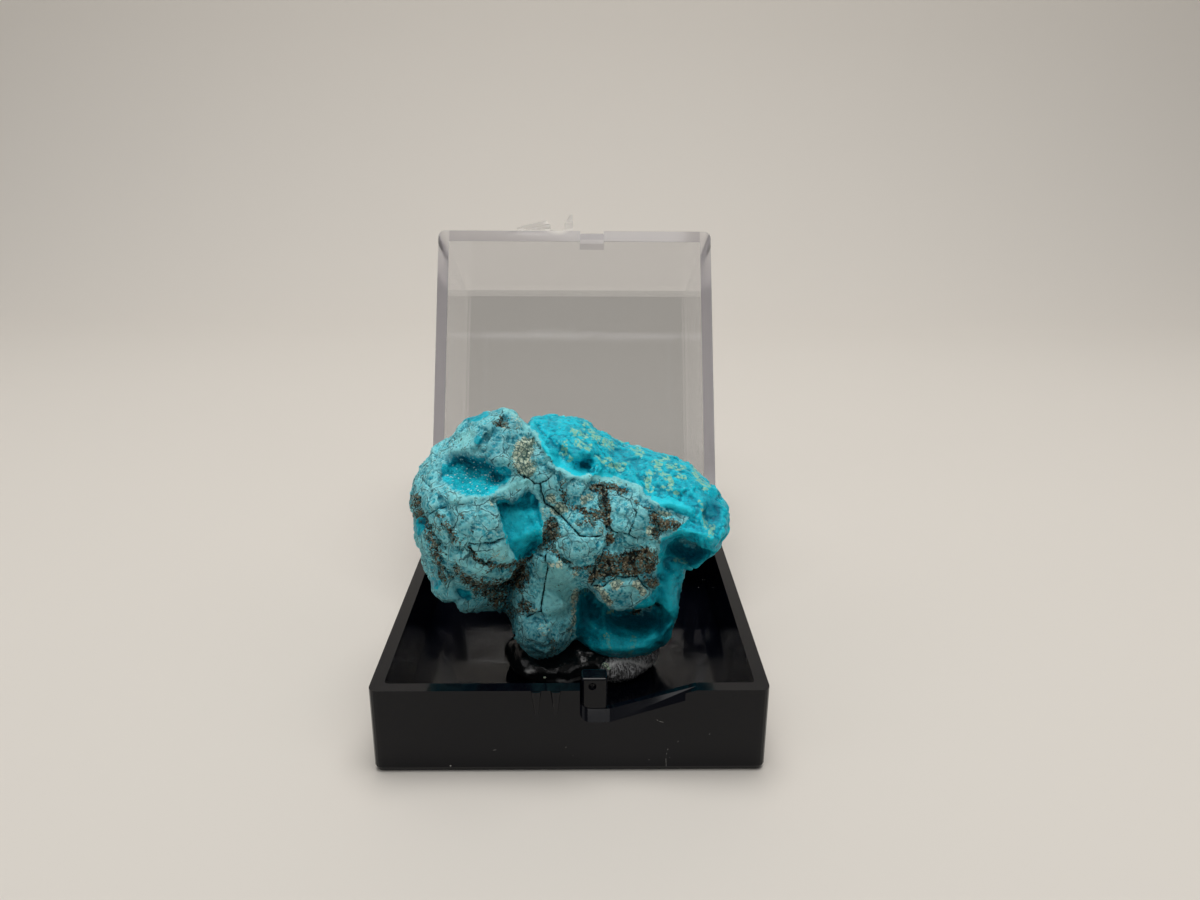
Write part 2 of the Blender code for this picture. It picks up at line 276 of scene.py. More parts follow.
# ------------------------------------------------------------------ stone: form
# centre, radii and turn about the front-to-back axis of its masses, in mm
MASSES = (
    ((-8.0, -4.5, 18.4), (5.9, 7.5, 6.4), 0),
    ((-10.2, -4.0, 12.5), (3.5, 5.5, 3.4), 0),
    ((-6.2, -3.0, 23.8), (3.6, 5.5, 3.0), -20),
    ((-6.8, -1.0, 10.0), (4.0, 5.0, 3.4), 0),
    ((-1.0, -1.0, 21.8), (4.8, 7.5, 3.4), 0),
    ((6.5, -2.5, 18.2), (5.8, 7.5, 4.2), 16),
    ((11.0, -5.5, 16.9), (2.6, 5.5, 3.2), 20),
    ((9.6, -4.4, 19.3), (3.2, 4.8, 2.2), 28),
    ((0.8, -3.5, 16.8), (6.0, 7.0, 6.0), 0),
    ((8.6, -1.5, 10.4), (2.4, 5.5, 5.4), 8),
    ((-2.4, -4.8, 9.2), (3.2, 4.3, 5.2), 0),
    ((4.6, -1.5, 6.8), (5.2, 5.2, 3.7), 0),
    ((4.0, -6.3, 14.0), (3.6, 3.6, 2.7), 0),
    ((4.6, -6.7, 11.7), (2.9, 2.3, 1.6), 0),
    ((0.0, 4.0, 16.2), (10.5, 6.5, 6.6), 6),
    ((1.2, 3.0, 9.3), (7.8, 6.5, 5.2), 0),
)
HOLLOWS = (
    ((9.9, -9.3, 15.7), (2.3, 4.0, 2.15), 16, 8),
    ((5.6, -6.9, 8.6), (3.3, 5.2, 2.1), 4, 16),
    ((1.95, -7.6, 9.9), (1.15, 4.2, 2.7), -12, 0),
)
OUTLINE = (
    (407, 484), (415, 467), (424, 456), (440, 443), (452, 433), (460, 426),
    (473, 419), (486, 413.5), (497, 411), (505, 408), (511, 412.5), (519, 419), (528, 426), (534, 418),
    (546, 414.5), (563, 417), (578, 417.5), (591, 423), (597, 431), (611, 437),
    (624, 445), (637, 447), (656, 452), (678, 456), (693, 464), (706, 474),
    (718, 488), (719, 498), (727, 508), (729, 521), (728, 534), (721, 541),
    (715, 554), (703, 562), (692, 571), (685, 569), (682, 582), (679, 594),
    (678, 612), (673, 624), (671, 629), (668, 645), (662, 650), (655, 664),
    (640, 680), (600, 690), (540, 680), (525, 662), (519, 650), (515, 640),
    (513, 627), (507, 620), (501, 611), (486, 611), (473, 615), (461, 610.5),
    (455, 602), (445, 599.5), (433, 591), (431, 582), (423, 569), (422, 552),
    (414, 540), (415, 528), (412, 510), (408, 505),
)


def oval(p, item):
    """Distance to an ellipsoid: centre, radii, turn about the front-to-back
    axis and tip of its front end downwards."""
    c, r, turn, tip = (*item, 0)[:4]
    a, b = math.radians(turn), math.radians(tip)
    q = p - np.array(c, np.float32)
    x = q[:, 0] * math.cos(a) - q[:, 2] * math.sin(a)
    z = q[:, 0] * math.sin(a) + q[:, 2] * math.cos(a)
    y = q[:, 1] * math.cos(b) + z * math.sin(b)
    z = -q[:, 1] * math.sin(b) + z * math.cos(b)
    u = np.stack([x / r[0], y / r[1], z / r[2]], 1)
    k0 = np.sqrt((u * u).sum(1)) + 1e-6
    w = u / np.array(r, np.float32)
    k1 = np.sqrt((w * w).sum(1)) + 1e-6
    return k0 * (k0 - 1) / k1


def masses(p):
    d = None
    for item in MASSES:
        e = oval(p, item)
        d = e if d is None else smin(d, e, 1.3)
    return d - 0.15


def body(p, outline):
    px, py, z = to_front(p)
    d = masses(p)
    # uneven broken faces at two sizes
    d = d + 0.42 * fbm(p, 5.5, 2, 11)
    edge = read(outline, px, py) * z / FOCAL
    d = smax(d - 0.12, edge, 0.4)
    for item in HOLLOWS:
        d = smax(d, -oval(p, item), 0.3)
    return d + 0.20 * fbm(p, 1.8, 3, 12) + 0.16 * np.abs(noise(p, 2.6, 14))


def front_depth(outline):
    """Distance ahead of the eye where each sheet point first meets the body."""
    step = 2
    gx, gy = GX[::step, ::step], GY[::step, ::step]
    ray = (AHEAD[None] + RIGHT[None] * ((gx.ravel()[:, None] - 600) / FOCAL)
           - UP[None] * ((gy.ravel()[:, None] - 450) / FOCAL))
    z = np.full(len(ray), 62.0)
    alive = np.ones(len(ray), bool)
    for _ in range(46):
        k = np.nonzero(alive)[0]
        if not len(k):
            break
        d = body(EYE + ray[k] * z[k, None], outline)
        z[k] += np.maximum(d, 0.0) * 0.75 + 0.01
        alive[k[d < 0.02]] = False
        alive[k[z[k] > 96]] = False
    z[z > 95.5] = 95.0
    z = z.reshape(gx.shape)
    full = np.repeat(np.repeat(z, step, 0), step, 1)[:GX.shape[0], :GX.shape[1]]
    return soften(full.astype(np.float32), 2)


def front_relief():
    """How far the front lies in (+) or stands out (-) along the line of sight,
    in mm, drawn on the sheet."""
    r = sheet()
    # sparkling hollow in the head: steep above, sloping up to a pale floor
    bowl = dab(472, 474, 31, 20, 12, edge=0.42) * smoothstep(505, 478, GY)
    bowl = np.maximum(bowl, dab(500, 474, 13, 9, 0, edge=0.5) * 0.55)
    r += 1.8 * bowl
    r -= 0.5 * groove([(447, 468), (455, 455), (470, 452), (490, 461), (506, 462)], 5)
    r -= 0.35 * groove([(455, 500), (478, 498), (500, 489), (528, 480)], 5)
    r += 0.5 * dab(474, 472, 9, 6, 0)
    r += 0.6 * dab(498, 480, 7, 5, 20)
    # sharp pit: knife edge on its left, hollow face rising to the right
    pit = area_distance([(494, 500), (504, 499), (513, 503), (521, 496), (529, 490),
                         (539, 501), (542, 517), (543, 533), (540, 546),
                         (530, 555), (516, 562), (510, 551), (505, 538),
                         (500, 520)])
    inside = 1 - smoothstep(-1.0, 1.0, pit)
    knife = np.interp(GY, [500, 540, 561], [495, 506, 515]).astype(np.float32)
    across = np.clip((GX - knife) / 34.0, 0, 1)
    r += inside * (2.3 * (1 - across) ** 0.8 + 0.4) * smoothstep(566, 550, GY)
    r += inside * 0.7 * groove([(500, 504), (513, 506), (528, 505), (538, 502)], 5)
    r += inside * 0.55 * groove([(529, 490), (523, 506)], 4)
    r -= inside * 0.5 * groove([(516, 541), (528, 535), (540, 530)], 5)
    # head: ridges that run down from the peak
    r -= 0.65 * groove([(472, 447), (484, 432), (496, 420), (505, 411)], 3.6)
    r -= 0.75 * groove([(505, 411), (520, 421), (534, 434), (546, 450), (553, 466)], 3.8)
    r += 0.55 * dab(465, 439, 12, 8, -25)
    r += 0.35 * dab(495, 438, 9, 7, 0)
    r += 0.35 * dab(520, 448, 12, 14, 20)
    r += 0.25 * dab(541, 472, 11, 12, 0)
    # shelf behind the head's right ridge
    r += 0.9 * smoothstep(1, 9, -area_distance(
        [(530, 424), (541, 440), (549, 452), (557, 470), (572, 478), (600, 478),
         (592, 462), (572, 452), (560, 440), (546, 430), (536, 420)]))
    r += 1.1 * dab(585, 465, 9, 9, 0) * smoothstep(478, 470, GY)
    r -= 0.4 * groove([(560, 472), (575, 477), (590, 476)], 4)
    # left side of the head
    r += 0.35 * groove([(417, 514), (430, 525), (440, 545), (443, 565)], 4)
    r += 0.35 * groove([(441, 498), (449, 511), (455, 528)], 4)
    r -= 0.3 * dab(429, 497, 12, 13, 0)
    r -= 0.35 * dab(480, 522, 17, 15, 0)
    r += 0.35 * groove([(466, 546), (474, 558), (484, 563), (500, 566), (514, 564)], 3.6)
    r -= 0.55 * groove([(457, 552), (468, 567), (486, 574), (508, 574)], 4.5)
    r += 0.6 * groove([(455, 570), (466, 580), (482, 586), (498, 586), (511, 581)], 5)
    r -= 0.35 * dab(502, 553, 11, 9, 10)
    r += 0.5 * groove([(445, 560), (452, 575), (456, 592)], 3.2)
    r -= 0.4 * dab(441, 580, 9, 11, 20)
    r += 0.55 * dab(463, 594, 8, 6, 30)
    r += 0.45 * dab(436, 583, 5, 5, 0)
    # valley between the head and the middle
    r += 1.3 * groove([(544, 541), (532, 556), (520, 567), (512, 582), (508, 600),
                       (510, 622)], 6)
    r += 0.55 * groove([(558, 512), (551, 526), (546, 545)], 6)
    r += 0.3 * groove([(557, 474), (562, 488), (568, 503)], 5)
    # middle: slabs with stepped joints
    r -= 0.3 * dab(575, 495, 12, 14, 15)
    r -= 0.35 * dab(627, 514, 19, 17, 0)
    r += 0.28 * groove([(592, 483), (604, 492), (606, 515), (606, 545)], 5)
    r += 0.4 * groove([(607, 528), (619, 533), (629, 536), (645, 541)], 3)
    r -= 0.35 * dab(582, 548, 17, 10, 10)
    r += 0.3 * groove([(560, 556), (573, 567), (590, 566), (598, 556)], 4)
    r += 0.2 * groove([(640, 500), (648, 512), (655, 528)], 4)
    r -= 0.55 * dab(668, 524, 13, 7, 8)
    r -= 1.0 * dab(645, 561, 12, 14, 0)
    r -= 0.3 * dab(612, 562, 14, 10, 0)
    # foot
    r -= 0.4 * dab(548, 570, 17, 20, 0)
    r += 0.45 * groove([(530, 618), (548, 622), (566, 615)], 5)
    r -= 0.5 * dab(545, 638, 22, 15, 0)
    r += 0.4 * dab(526, 607, 8, 8, 0)
    # overhanging plate above the large hollow
    plate = area_distance([(592, 587), (604, 585), (616, 579), (638, 578),
                           (648, 589), (655, 600), (660, 612), (650, 612),
                           (632, 610), (608, 613), (600, 602)])
    r -= 0.55 * (1 - smoothstep(-4.0, 0.5, plate))
    r -= 0.7 * dab(652, 583, 10, 5, 12)
    # column at the right and the alcove beside it
    r -= 0.45 * groove([(668, 575), (668, 595), (670, 620)], 6)
    r += 0.5 * groove([(658, 588), (660, 606), (662, 620)], 3)
    r -= 0.4 * dab(657, 560, 7, 13, -8)
    r += 0.8 * dab(686, 549, 18, 11, 8, edge=0.45)
    r -= 0.45 * groove([(660, 541), (668, 535), (680, 532), (700, 532), (712, 540)], 3.5)
    r += 0.5 * dab(713, 512, 8, 13, 0)
    r -= 0.3 * groove([(700, 500), (703, 515), (708, 530), (714, 541)], 4)
    r -= 0.45 * groove([(652, 500), (668, 502), (688, 508)], 5)
    r += 0.5 * groove([(640, 478), (660, 492), (688, 497)], 5)
    # large hollow and the lip of its floor
    r += 0.5 * dab(634, 621, 26, 9, 5, edge=0.4)
    r -= 0.75 * dab(618, 654, 42, 10, 2)
    r -= 0.5 * dab(650, 641, 12, 8, -20)
    r -= 0.8 * groove([(660, 612), (667, 628), (664, 642)], 4)
    return soften(r, 1)


# ------------------------------------------------------------------ stone: mesh
def surface_net(f, low, h):
    """Vertices and triangles of the zero surface of a grid of values."""
    n = np.array(f.shape)
    inside = f < 0
    total = np.zeros((*(n - 1), 3), np.float32)
    count = np.zeros(tuple(n - 1), np.int32)
    for a in range(3):
        lo, hi = [slice(None)] * 3, [slice(None)] * 3
        lo[a], hi[a] = slice(0, -1), slice(1, None)
        va, vb = f[tuple(lo)], f[tuple(hi)]
        cross = inside[tuple(lo)] != inside[tuple(hi)]
        with np.errstate(divide="ignore", invalid="ignore"):
            t = np.where(cross, va / (va - vb), 0).astype(np.float32)
        b, c = (a + 1) % 3, (a + 2) % 3
        for db in (0, 1):
            for dc in (0, 1):
                s = [slice(None)] * 3
                s[b] = slice(db, n[b] - 1 + db)
                s[c] = slice(dc, n[c] - 1 + dc)
                cr = cross[tuple(s)]
                total[..., a] += np.where(cr, t[tuple(s)], 0)
                total[..., b] += cr * db
                total[..., c] += cr * dc
                count += cr
    active = count > 0
    index = np.full(active.shape, -1, np.int64)
    index[active] = np.arange(active.sum())
    where = np.argwhere(active)
    verts = (where + total[active] / count[active][:, None]) * h + low
    tris = []
    for a in range(3):
        lo, hi = [slice(None)] * 3, [slice(None)] * 3
        lo[a], hi[a] = slice(0, -1), slice(1, None)
        b, c = (a + 1) % 3, (a + 2) % 3
        for s in (lo, hi):
            s[b], s[c] = slice(1, -1), slice(1, -1)
        ia = inside[tuple(lo)]
        cross = ia != inside[tuple(hi)]
        e = np.argwhere(cross)
        e[:, b] += 1
        e[:, c] += 1
        flip = ~ia[cross]
        quad = []
        for db, dc in ((-1, -1), (0, -1), (0, 0), (-1, 0)):
            g = e.copy()
            g[:, b] += db
            g[:, c] += dc
            quad.append(index[g[:, 0], g[:, 1], g[:, 2]])
        q = np.stack(quad, 1)
        q[flip] = q[flip][:, ::-1]
        tris += [q[:, [0, 1, 2]], q[:, [0, 2, 3]]]
    return verts, np.concatenate(tris)


def normals_of(v, t):
    n = np.cross(v[t[:, 1]] - v[t[:, 0]], v[t[:, 2]] - v[t[:, 0]])
    out = np.zeros_like(v)
    for k in range(3):
        for a in range(3):
            out[:, a] += np.bincount(t[:, k], n[:, a], len(v))
    return out / (np.linalg.norm(out, axis=1)[:, None] + 1e-12)


def split_long(v, t, want):
    """Splits each edge that is longer than the mean of want at its ends."""
    e = np.stack([t[:, [0, 1]], t[:, [1, 2]], t[:, [2, 0]]], 1).reshape(-1, 2)
    s = np.sort(e, 1)
    key, back = np.unique(s[:, 0] * len(v) + s[:, 1], return_inverse=True)
    back = back.reshape(-1, 3)
    a, b = key // len(v), key % len(v)
    long = np.linalg.norm(v[a] - v[b], axis=1) > 0.5 * (want[a] + want[b])
    if not long.any():
        return v, t, want, False
    new = np.full(len(key), -1, np.int64)
    new[long] = len(v) + np.arange(long.sum())
    v2 = np.concatenate([v, (v[a] + v[b])[long] / 2])
    w2 = np.concatenate([want, (want[a] + want[b])[long] / 2])
    m = new[back]
    has = m >= 0
    count = has.sum(1)
    out = [t[count == 0]]
    k = count == 3
    x, y = t[k], m[k]
    out += [np.stack([x[:, 0], y[:, 0], y[:, 2]], 1),
            np.stack([x[:, 1], y[:, 1], y[:, 0]], 1),
            np.stack([x[:, 2], y[:, 2], y[:, 1]], 1), y]
    for r in range(3):
        o = [r, (r + 1) % 3, (r + 2) % 3]
        k = (count == 1) & has[:, r]          # only the edge o0-o1 is split
        x, y = t[k][:, o], m[k][:, r]
        out += [np.stack([x[:, 0], y, x[:, 2]], 1),
                np.stack([y, x[:, 1], x[:, 2]], 1)]
        k = (count == 2) & ~has[:, r]         # edges o1-o2 and o2-o0 are split
        x, y12, y20 = t[k][:, o], m[k][:, o[1]], m[k][:, o[2]]
        out += [np.stack([y12, x[:, 2], y20], 1),
                np.stack([x[:, 0], x[:, 1], y12], 1),
                np.stack([x[:, 0], y12, y20], 1)]
    return v2, np.concatenate(out), w2, True


def mesh_object(name, v, t, attributes=None, material=None, smooth=True):
    mesh = bpy.data.meshes.new(name)
    mesh.vertices.add(len(v))
    mesh.vertices.foreach_set("co", (v * MM).astype(np.float32).ravel())
    mesh.loops.add(3 * len(t))
    mesh.loops.foreach_set("vertex_index", t.astype(np.int32).ravel())
    mesh.polygons.add(len(t))
    mesh.polygons.foreach_set("loop_start", np.arange(0, 3 * len(t), 3, dtype=np.int32))
    mesh.update(calc_edges=True)
    mesh.validate()
    if smooth:
        mesh.shade_smooth()
    for key, value in (attributes or {}).items():
        att = mesh.attributes.new(key, "FLOAT", "POINT")
        att.data.foreach_set("value", np.asarray(value, np.float32))
    obj = bpy.data.objects.new(name, mesh)
    bpy.context.scene.collection.objects.link(obj)
    if material is not None:
        mesh.materials.append(material)
    return obj


# ------------------------------------------------------------------ stone: marks
CRACKS = (
    ([(517, 469.5), (520.5, 475), (530, 477.5), (534.5, 484), (539.5, 483.5),
      (546.5, 480), (551, 475.5)], 1.0),
    ([(539.5, 483.5), (540, 492), (543, 503), (553, 508), (565, 520), (579.5, 535.3),
      (589, 537.3), (601, 536)], 1.15),
    ([(419.5, 477), (428.7, 485.7)], 0.8),
    ([(419, 476), (424, 469), (431, 468), (439, 471)], 0.4),
    ([(427.7, 514.4), (438, 508), (445.6, 505.8)], 0.9),
    ([(437.4, 490), (439.6, 495.4), (441.5, 502)], 0.7),
    ([(468.9, 543.5), (480.4, 544.7), (491.8, 543.5), (503.3, 537.8)], 1.0),
    ([(545.3, 547), (545.3, 575), (544.2, 589), (541.8, 600.4), (540.6, 613.6)], 1.5),
    ([(540.6, 613.6), (534, 614.3), (527, 616.6)], 1.1),
    ([(540.6, 613.6), (544, 619), (548.5, 624.5)], 0.9),
    ([(545.2, 590.6), (552.7, 592.3), (561, 593)], 0.55),
    ([(536.6, 554.4), (544.1, 557.3)], 0.8),
    ([(605.2, 526.1), (615.8, 531.7), (628.6, 534.4), (637, 512.7), (633, 507.5)], 1.05),
    ([(628.6, 534.4), (637.5, 539)], 0.9),
    ([(605.2, 482.6), (607, 490), (603.5, 499), (606.3, 512), (605.6, 526), (605, 547), (609, 551)], 0.55),
    ([(563.3, 489.3), (567, 484), (575, 479.6)], 0.9),
    ([(657, 521.7), (660.4, 534)], 0.6),
    ([(617.2, 533), (616, 548.5)], 0.7),
    ([(593.5, 587.4), (603, 585.6), (609, 581.2), (616, 577.8), (625.5, 577.6),
      (637.3, 576.4), (641, 582.5), (648, 589)], 1.1),
    ([(595, 566), (594.2, 581.3), (590.7, 587)], 1.0),
    ([(605.4, 548.3), (597.5, 564.8)], 0.9),
    ([(553, 508), (557, 501), (560, 497)], 0.6),
    ([(520.5, 475), (517, 481), (519, 487)], 0.5),
    ([(551, 475.5), (557, 470)], 0.45),
    ([(531, 461), (545, 466), (551, 475.5)], 0.35),
    ([(579.5, 535.3), (573, 541), (562, 545)], 0.4),
    ([(601, 536), (598, 545), (590, 551)], 0.35),
    ([(585, 479), (589, 492), (583, 505)], 0.35),
    ([(565, 505), (576, 507), (585, 504)], 0.4),
    ([(556, 575), (566, 580), (577, 577)], 0.3),
    ([(545, 575), (533, 581), (528, 590)], 0.3),
    ([(440, 545), (452, 541), (462, 530)], 0.4),
)


def brown_sheet():
    s = sheet()
    lines = (
        ([(418, 514), (425, 525), (432, 540), (437, 553), (441, 565), (445, 577)], 5.5, 0.85),
        ([(438, 515), (448, 527), (455, 543)], 4.5, 0.6),
        ([(467.7, 546.4), (474.6, 557), (482.7, 562), (495.3, 564.8), (503.3, 565.9),
          (514.8, 563.6), (526.3, 557.9), (537.8, 548.5), (544, 541)], 2.6, 1.0),
        ([(456.3, 569.4), (464.3, 577.4), (473.5, 582), (487.3, 584.3), (497.6, 584.3),
          (509, 582), (516, 575)], 4.2, 0.9),
        ([(550, 549), (560, 557), (572, 565), (582, 571), (590, 566)], 2.6, 0.9),
        ([(571, 507), (585, 511), (598, 516)], 3.6, 1.0),
        ([(604, 494), (606, 505), (606, 522)], 5.0, 1.0),
        ([(561, 481), (563, 490), (566, 503)], 3.6, 0.9),
        ([(637, 501), (642, 505), (648, 510)], 2.2, 0.9),
        ([(696, 490.5), (703, 489.5), (710, 492)], 1.6, 0.6),
        ([(410, 477), (409.5, 487)], 1.8, 0.8),
        ([(487, 571), (500, 572)], 3.0, 0.55),
    )
    for pts, width, power in lines:
        s = over(s, power * stroke(pts, width, width * 0.8))
    dabs = (
        (501, 424, 9, 3.6, 8, 0.95), (504, 417.5, 2.5, 2, 0, 0.7),
        (416.3, 499, 3.4, 8, 8, 0.9), (410.5, 506, 3, 2.2, 30, 0.8),
        (436.9, 513.9, 3.4, 3, 0, 0.8), (453, 441, 3, 4, 30, 0.6),
        (457.5, 446.6, 2, 1.6, 0, 0.8), (468.1, 446.1, 1.5, 1.5, 0, 0.9),
        (527.1, 490, 1.6, 1.6, 0, 0.9), (473.5, 530, 3.6, 4.5, 30, 0.6),
        (461, 517.5, 4.5, 3.5, 0, 0.7), (473, 517, 3.2, 3, 0, 0.55),
        (519, 578, 10, 14, 10, 1.0), (525, 607, 8.5, 8.5, 0, 0.75),
        (551, 531, 8.5, 14, 8, 1.0), (485, 591, 17, 7, 4, 0.7),
        (500, 600, 12, 9, 0, 0.75), (510, 614, 8, 9, 0, 0.6),
        (600, 488, 9.5, 7, 10, 1.0), (613, 487, 5, 5, 0, 0.95),
        (622, 490, 5.5, 5, 0, 1.0), (586, 523, 9, 5, 10, 0.7),
        (610, 539, 5, 9.5, 0, 0.95), (655, 520, 6, 8.5, -12, 1.0),
        (669, 524.5, 14, 6.5, 6, 0.85), (656, 533, 5, 5, 0, 0.9),
        (645, 561, 12, 14, 0, 0.95), (652, 583, 10.5, 4.8, 12, 1.0),
        (602, 573, 9, 9, 0, 0.7), (611, 600, 3.2, 3.2, 0, 0.7),
        (553, 645, 4, 11, -15, 0.6), (437, 556, 6, 5, 0, 0.9),
        (446, 575, 8, 5, 10, 0.7), (569, 563, 5, 3.5, 20, 0.9),
        (687, 518, 1.5, 1.5, 0, 0.8), (697, 508, 1.3, 1.3, 0, 0.8),
        (639, 495, 1.3, 1.3, 0, 0.9), (529, 560, 6, 5, -30, 0.9),
        (424, 472.5, 4, 1.8, -10, 0.55),
    )
    for cx, cy, rx, ry, turn, power in dabs:
        s = over(s, power * dab(cx, cy, rx, ry, turn, edge=0.45))
    s = over(s, patch([(597, 556), (605, 548), (612, 553), (622, 553), (634, 549),
                       (643, 545), (650, 546), (656, 556), (657, 566), (654, 573),
                       (640, 575), (628, 576), (616, 576), (606, 580), (597, 580),
                       (590, 585), (587, 580), (590, 572), (596, 566)], 2.5))
    return s


def cream_sheet():
    s = 0.86 * patch([(512, 452), (514, 443), (522, 437), (534, 438), (536, 450), (531, 460),
                      (538, 470), (531, 478), (521, 476), (514, 468), (511, 460)], 5.0)
    dabs = (
        (504.5, 428, 3.2, 2.5, 0, 1.0), (549.5, 499, 6, 5.2, 25, 1.0),
        (562, 507, 7.5, 5.2, 30, 0.95), (491, 503.6, 2.8, 3, 0, 0.9),
        (533, 610, 4, 2.6, 10, 0.9), (551, 563, 5, 3, 20, 0.8),
        (560, 564, 4, 3, 50, 0.9), (584, 500, 5, 6, 0, 0.75),
        (592, 496, 5, 6, 0, 0.6), (651, 531, 5.5, 5, 0, 0.95),
        (664, 514, 8, 3.2, 15, 0.85), (598, 588, 7, 2.6, -5, 0.9),
        (607, 598, 4, 9, -35, 1.0), (617, 584, 8, 5, -20, 1.0),
        (637, 585, 4, 6, -30, 1.0), (642, 591, 5, 4, 30, 0.9),
        (575, 597, 3.5, 10, 8, 0.85),
        (572, 620, 3, 18, 10, 0.65), (576, 574, 3.4, 4, 0, 0.85),
        (543, 630, 10, 9, 0, 0.4), (525, 610, 7, 5, 0, 0.5),
        (516, 421, 7, 9, -50, 0.45), (672, 626, 2.2, 2.5, 0, 1.0),
        (599, 530, 8, 5, 0, 0.45), (450, 442, 4, 3, -30, 0.5),
        (657, 580, 5, 2, 20, 0.7), (527, 455, 12, 22, 10, 0.35),
        (498, 556, 11, 8, 10, 0.4), (556, 511, 6, 5, 0, 0.8),
        (545, 512, 4, 7, 0, 0.5), (619, 482, 7, 3, 0, 0.5),
    )
    for cx, cy, rx, ry, turn, power in dabs:
        s = over(s, power * dab(cx, cy, rx, ry, turn, edge=0.4))
    return s


def wax_sheet():
    """Saturated, glossy blue-green material."""
    s = patch([(529, 424), (534, 414), (560, 410), (580, 412), (600, 425), (650, 446),
               (690, 456), (722, 480), (735, 510), (733, 540), (718, 560), (706, 562),
               (706, 545), (690, 534), (676, 531), (690, 518), (668, 509), (652, 499),
               (640, 487), (622, 479), (600, 476), (576, 476), (560, 468), (547, 455),
               (540, 440)], 2.5)
    s = over(s, patch([(662, 538), (680, 531), (704, 531), (712, 543), (714, 556),
                       (702, 566), (690, 574), (684, 571), (682, 600), (674, 640),
                       (664, 655), (640, 668), (600, 672), (570, 664), (576, 640),
                       (574, 618), (580, 596), (588, 589), (603, 606), (614, 613),
                       (630, 610), (648, 596), (655, 588), (662, 584), (656, 574),
                       (659, 556)], 2.0))
    for cx, cy, rx, ry, turn, power in (
            (473, 476, 31, 20, 10, 1.0), (501, 474, 11, 9, 0, 1.0),
            (520, 525, 1, 1, 0, 0), (478, 416, 11, 4.5, -28, 1.0),
            (419, 526, 4, 9, 10, 1.0), (435, 583, 7, 5, 25, 1.0),
            (464, 594, 9, 5.5, 32, 0.9), (477, 440, 5, 5, 0, 0.7)):
        s = over(s, power * dab(cx, cy, rx, ry, turn, edge=0.25))
    s = over(s, patch([(494, 500), (504, 499), (513, 503), (521, 496), (529, 489),
                       (539, 500), (543, 520), (542, 544), (530, 556), (516, 562),
                       (505, 538), (500, 520)], 1.2))
    return s


def deep_teal_and_shade_sheet():
    """Darker, bluer colour in the hollows and thin facets: partly the stone's deeper teal, partly painted
    shade where the hollows lie in shadow.
    """
    s = sheet()
    for cx, cy, rx, ry, turn, power in (
            (470, 461, 24, 8, 8, 0.75), (462, 476, 12, 10, 0, 0.35),
            (498, 483, 7, 4, 20, 0.6), (478, 416, 10, 4, -28, 0.4),
            (712, 513, 9, 14, 0, 0.75), (684, 550, 22, 15, 6, 0.75),
            (419, 526, 4, 9, 10, 0.45), (464, 594, 9, 5, 32, 0.6),
            (435, 583, 6, 4, 25, 0.5), (585, 466, 6, 6, 0, 0.45),
            (588, 608, 9, 24, 12, 0.80), (632, 619, 31, 11, 5, 1.0),
            (663, 630, 6, 16, 0, 0.7), (477, 440, 5, 5, 0, 0.4),
            (513, 503, 10, 4, 0, 0.8), (518, 520, 7, 14, 10, 0.2),
            (525, 497, 4, 7, 25, 0.7), (530, 540, 7, 3, -20, 0.4),
            (690, 545, 12, 9, 10, 0.3), (615, 571, 8, 4, 0, 0.2),
            (655, 508, 9, 3, 15, 0.5), (582, 455, 10, 5, 10, 0.3),
            (622, 456, 15, 5, 20, 0.35), (665, 590, 5, 14, 0, 0.25)):
        s = over(s, power * dab(cx, cy, rx, ry, turn, edge=0.5))
    return s


def pale_and_painted_light_sheet():
    # pale turquoise bands and rims of the stone, and painted light: the ovals over the pit (520, 528), the
    # head's hollow (468, 480) and the large hollow's lip (628, 646), (652, 638) brighten places that lie
    # in shade
    s = sheet()
    for pts, width, power in (
            ([(548, 455), (560, 467), (574, 474), (590, 476), (606, 476), (619, 481)], 4.0, 1.0),
            ([(556, 458), (566, 468)], 4.5, 0.9),
            ([(622, 480), (637, 488), (644, 496)], 3.5, 0.8),
            ([(653, 500), (668, 502), (688, 509)], 4.5, 0.9),
            ([(495, 490), (510, 487), (528, 480)], 5.0, 0.9),
            ([(507, 411), (520, 420), (534, 433), (546, 448), (556, 466)], 2.6, 0.75),
            ([(541, 498), (544, 520), (543, 541), (533, 553)], 1.8, 0.9),
            ([(652, 545), (656, 558), (660, 571)], 4.0, 0.8),
            ([(658, 592), (668, 606), (670, 618)], 4.0, 0.55),
            ([(584, 600), (579, 625), (574, 650)], 2.5, 0.35),
            ([(660, 541), (668, 537), (678, 533), (700, 533)], 1.6, 0.8),
            ([(500, 500), (507, 535), (515, 558)], 2.2, 0.7),
            ([(443, 453), (460, 450), (478, 452)], 3.5, 0.55),
            ([(455, 499), (475, 498), (490, 494)], 4.0, 0.6)):
        s = over(s, power * stroke(pts, width, width * 0.8))
    for cx, cy, rx, ry, turn, power in (
            (465, 438, 12, 8, -25, 0.8), (519, 484, 9, 5, -20, 0.9),
            (520, 528, 18, 30, 8, 0.62), (468, 480, 26, 14, 10, 0.62),
            (558, 592, 20, 34, 0, 0.72), (667, 596, 10, 24, 0, 0.72),
            (628, 646, 34, 12, 0, 0.62), (502, 553, 11, 10, 10, 0.85), (477, 570, 18, 5, 25, 0.55),
            (565, 603, 12, 12, 0, 0.6), (560, 570, 12, 10, 0, 0.35),
            (576, 582, 6, 8, 0, 0.4), (630, 590, 8, 5, -15, 0.65),
            (535, 520, 6, 18, 3, 0.45), (420, 545, 5, 5, 0, 0.5),
            (596, 428, 5, 3, 20, 0.25), (430, 598, 9, 4, 30, 0.4),
            (482, 563, 15, 4, 20, 0.4), (484, 492, 18, 5, -5, 0.35),
            (506, 472, 7, 6, 0, 0.5), (652, 638, 13, 6, -15, 0.6), (612, 648, 16, 8, 10, 0.35),
            (625, 515, 16, 13, 0, 0.25), (515, 435, 10, 10, 0, 0.2)):
        s = over(s, power * dab(cx, cy, rx, ry, turn, edge=0.5))
    return s


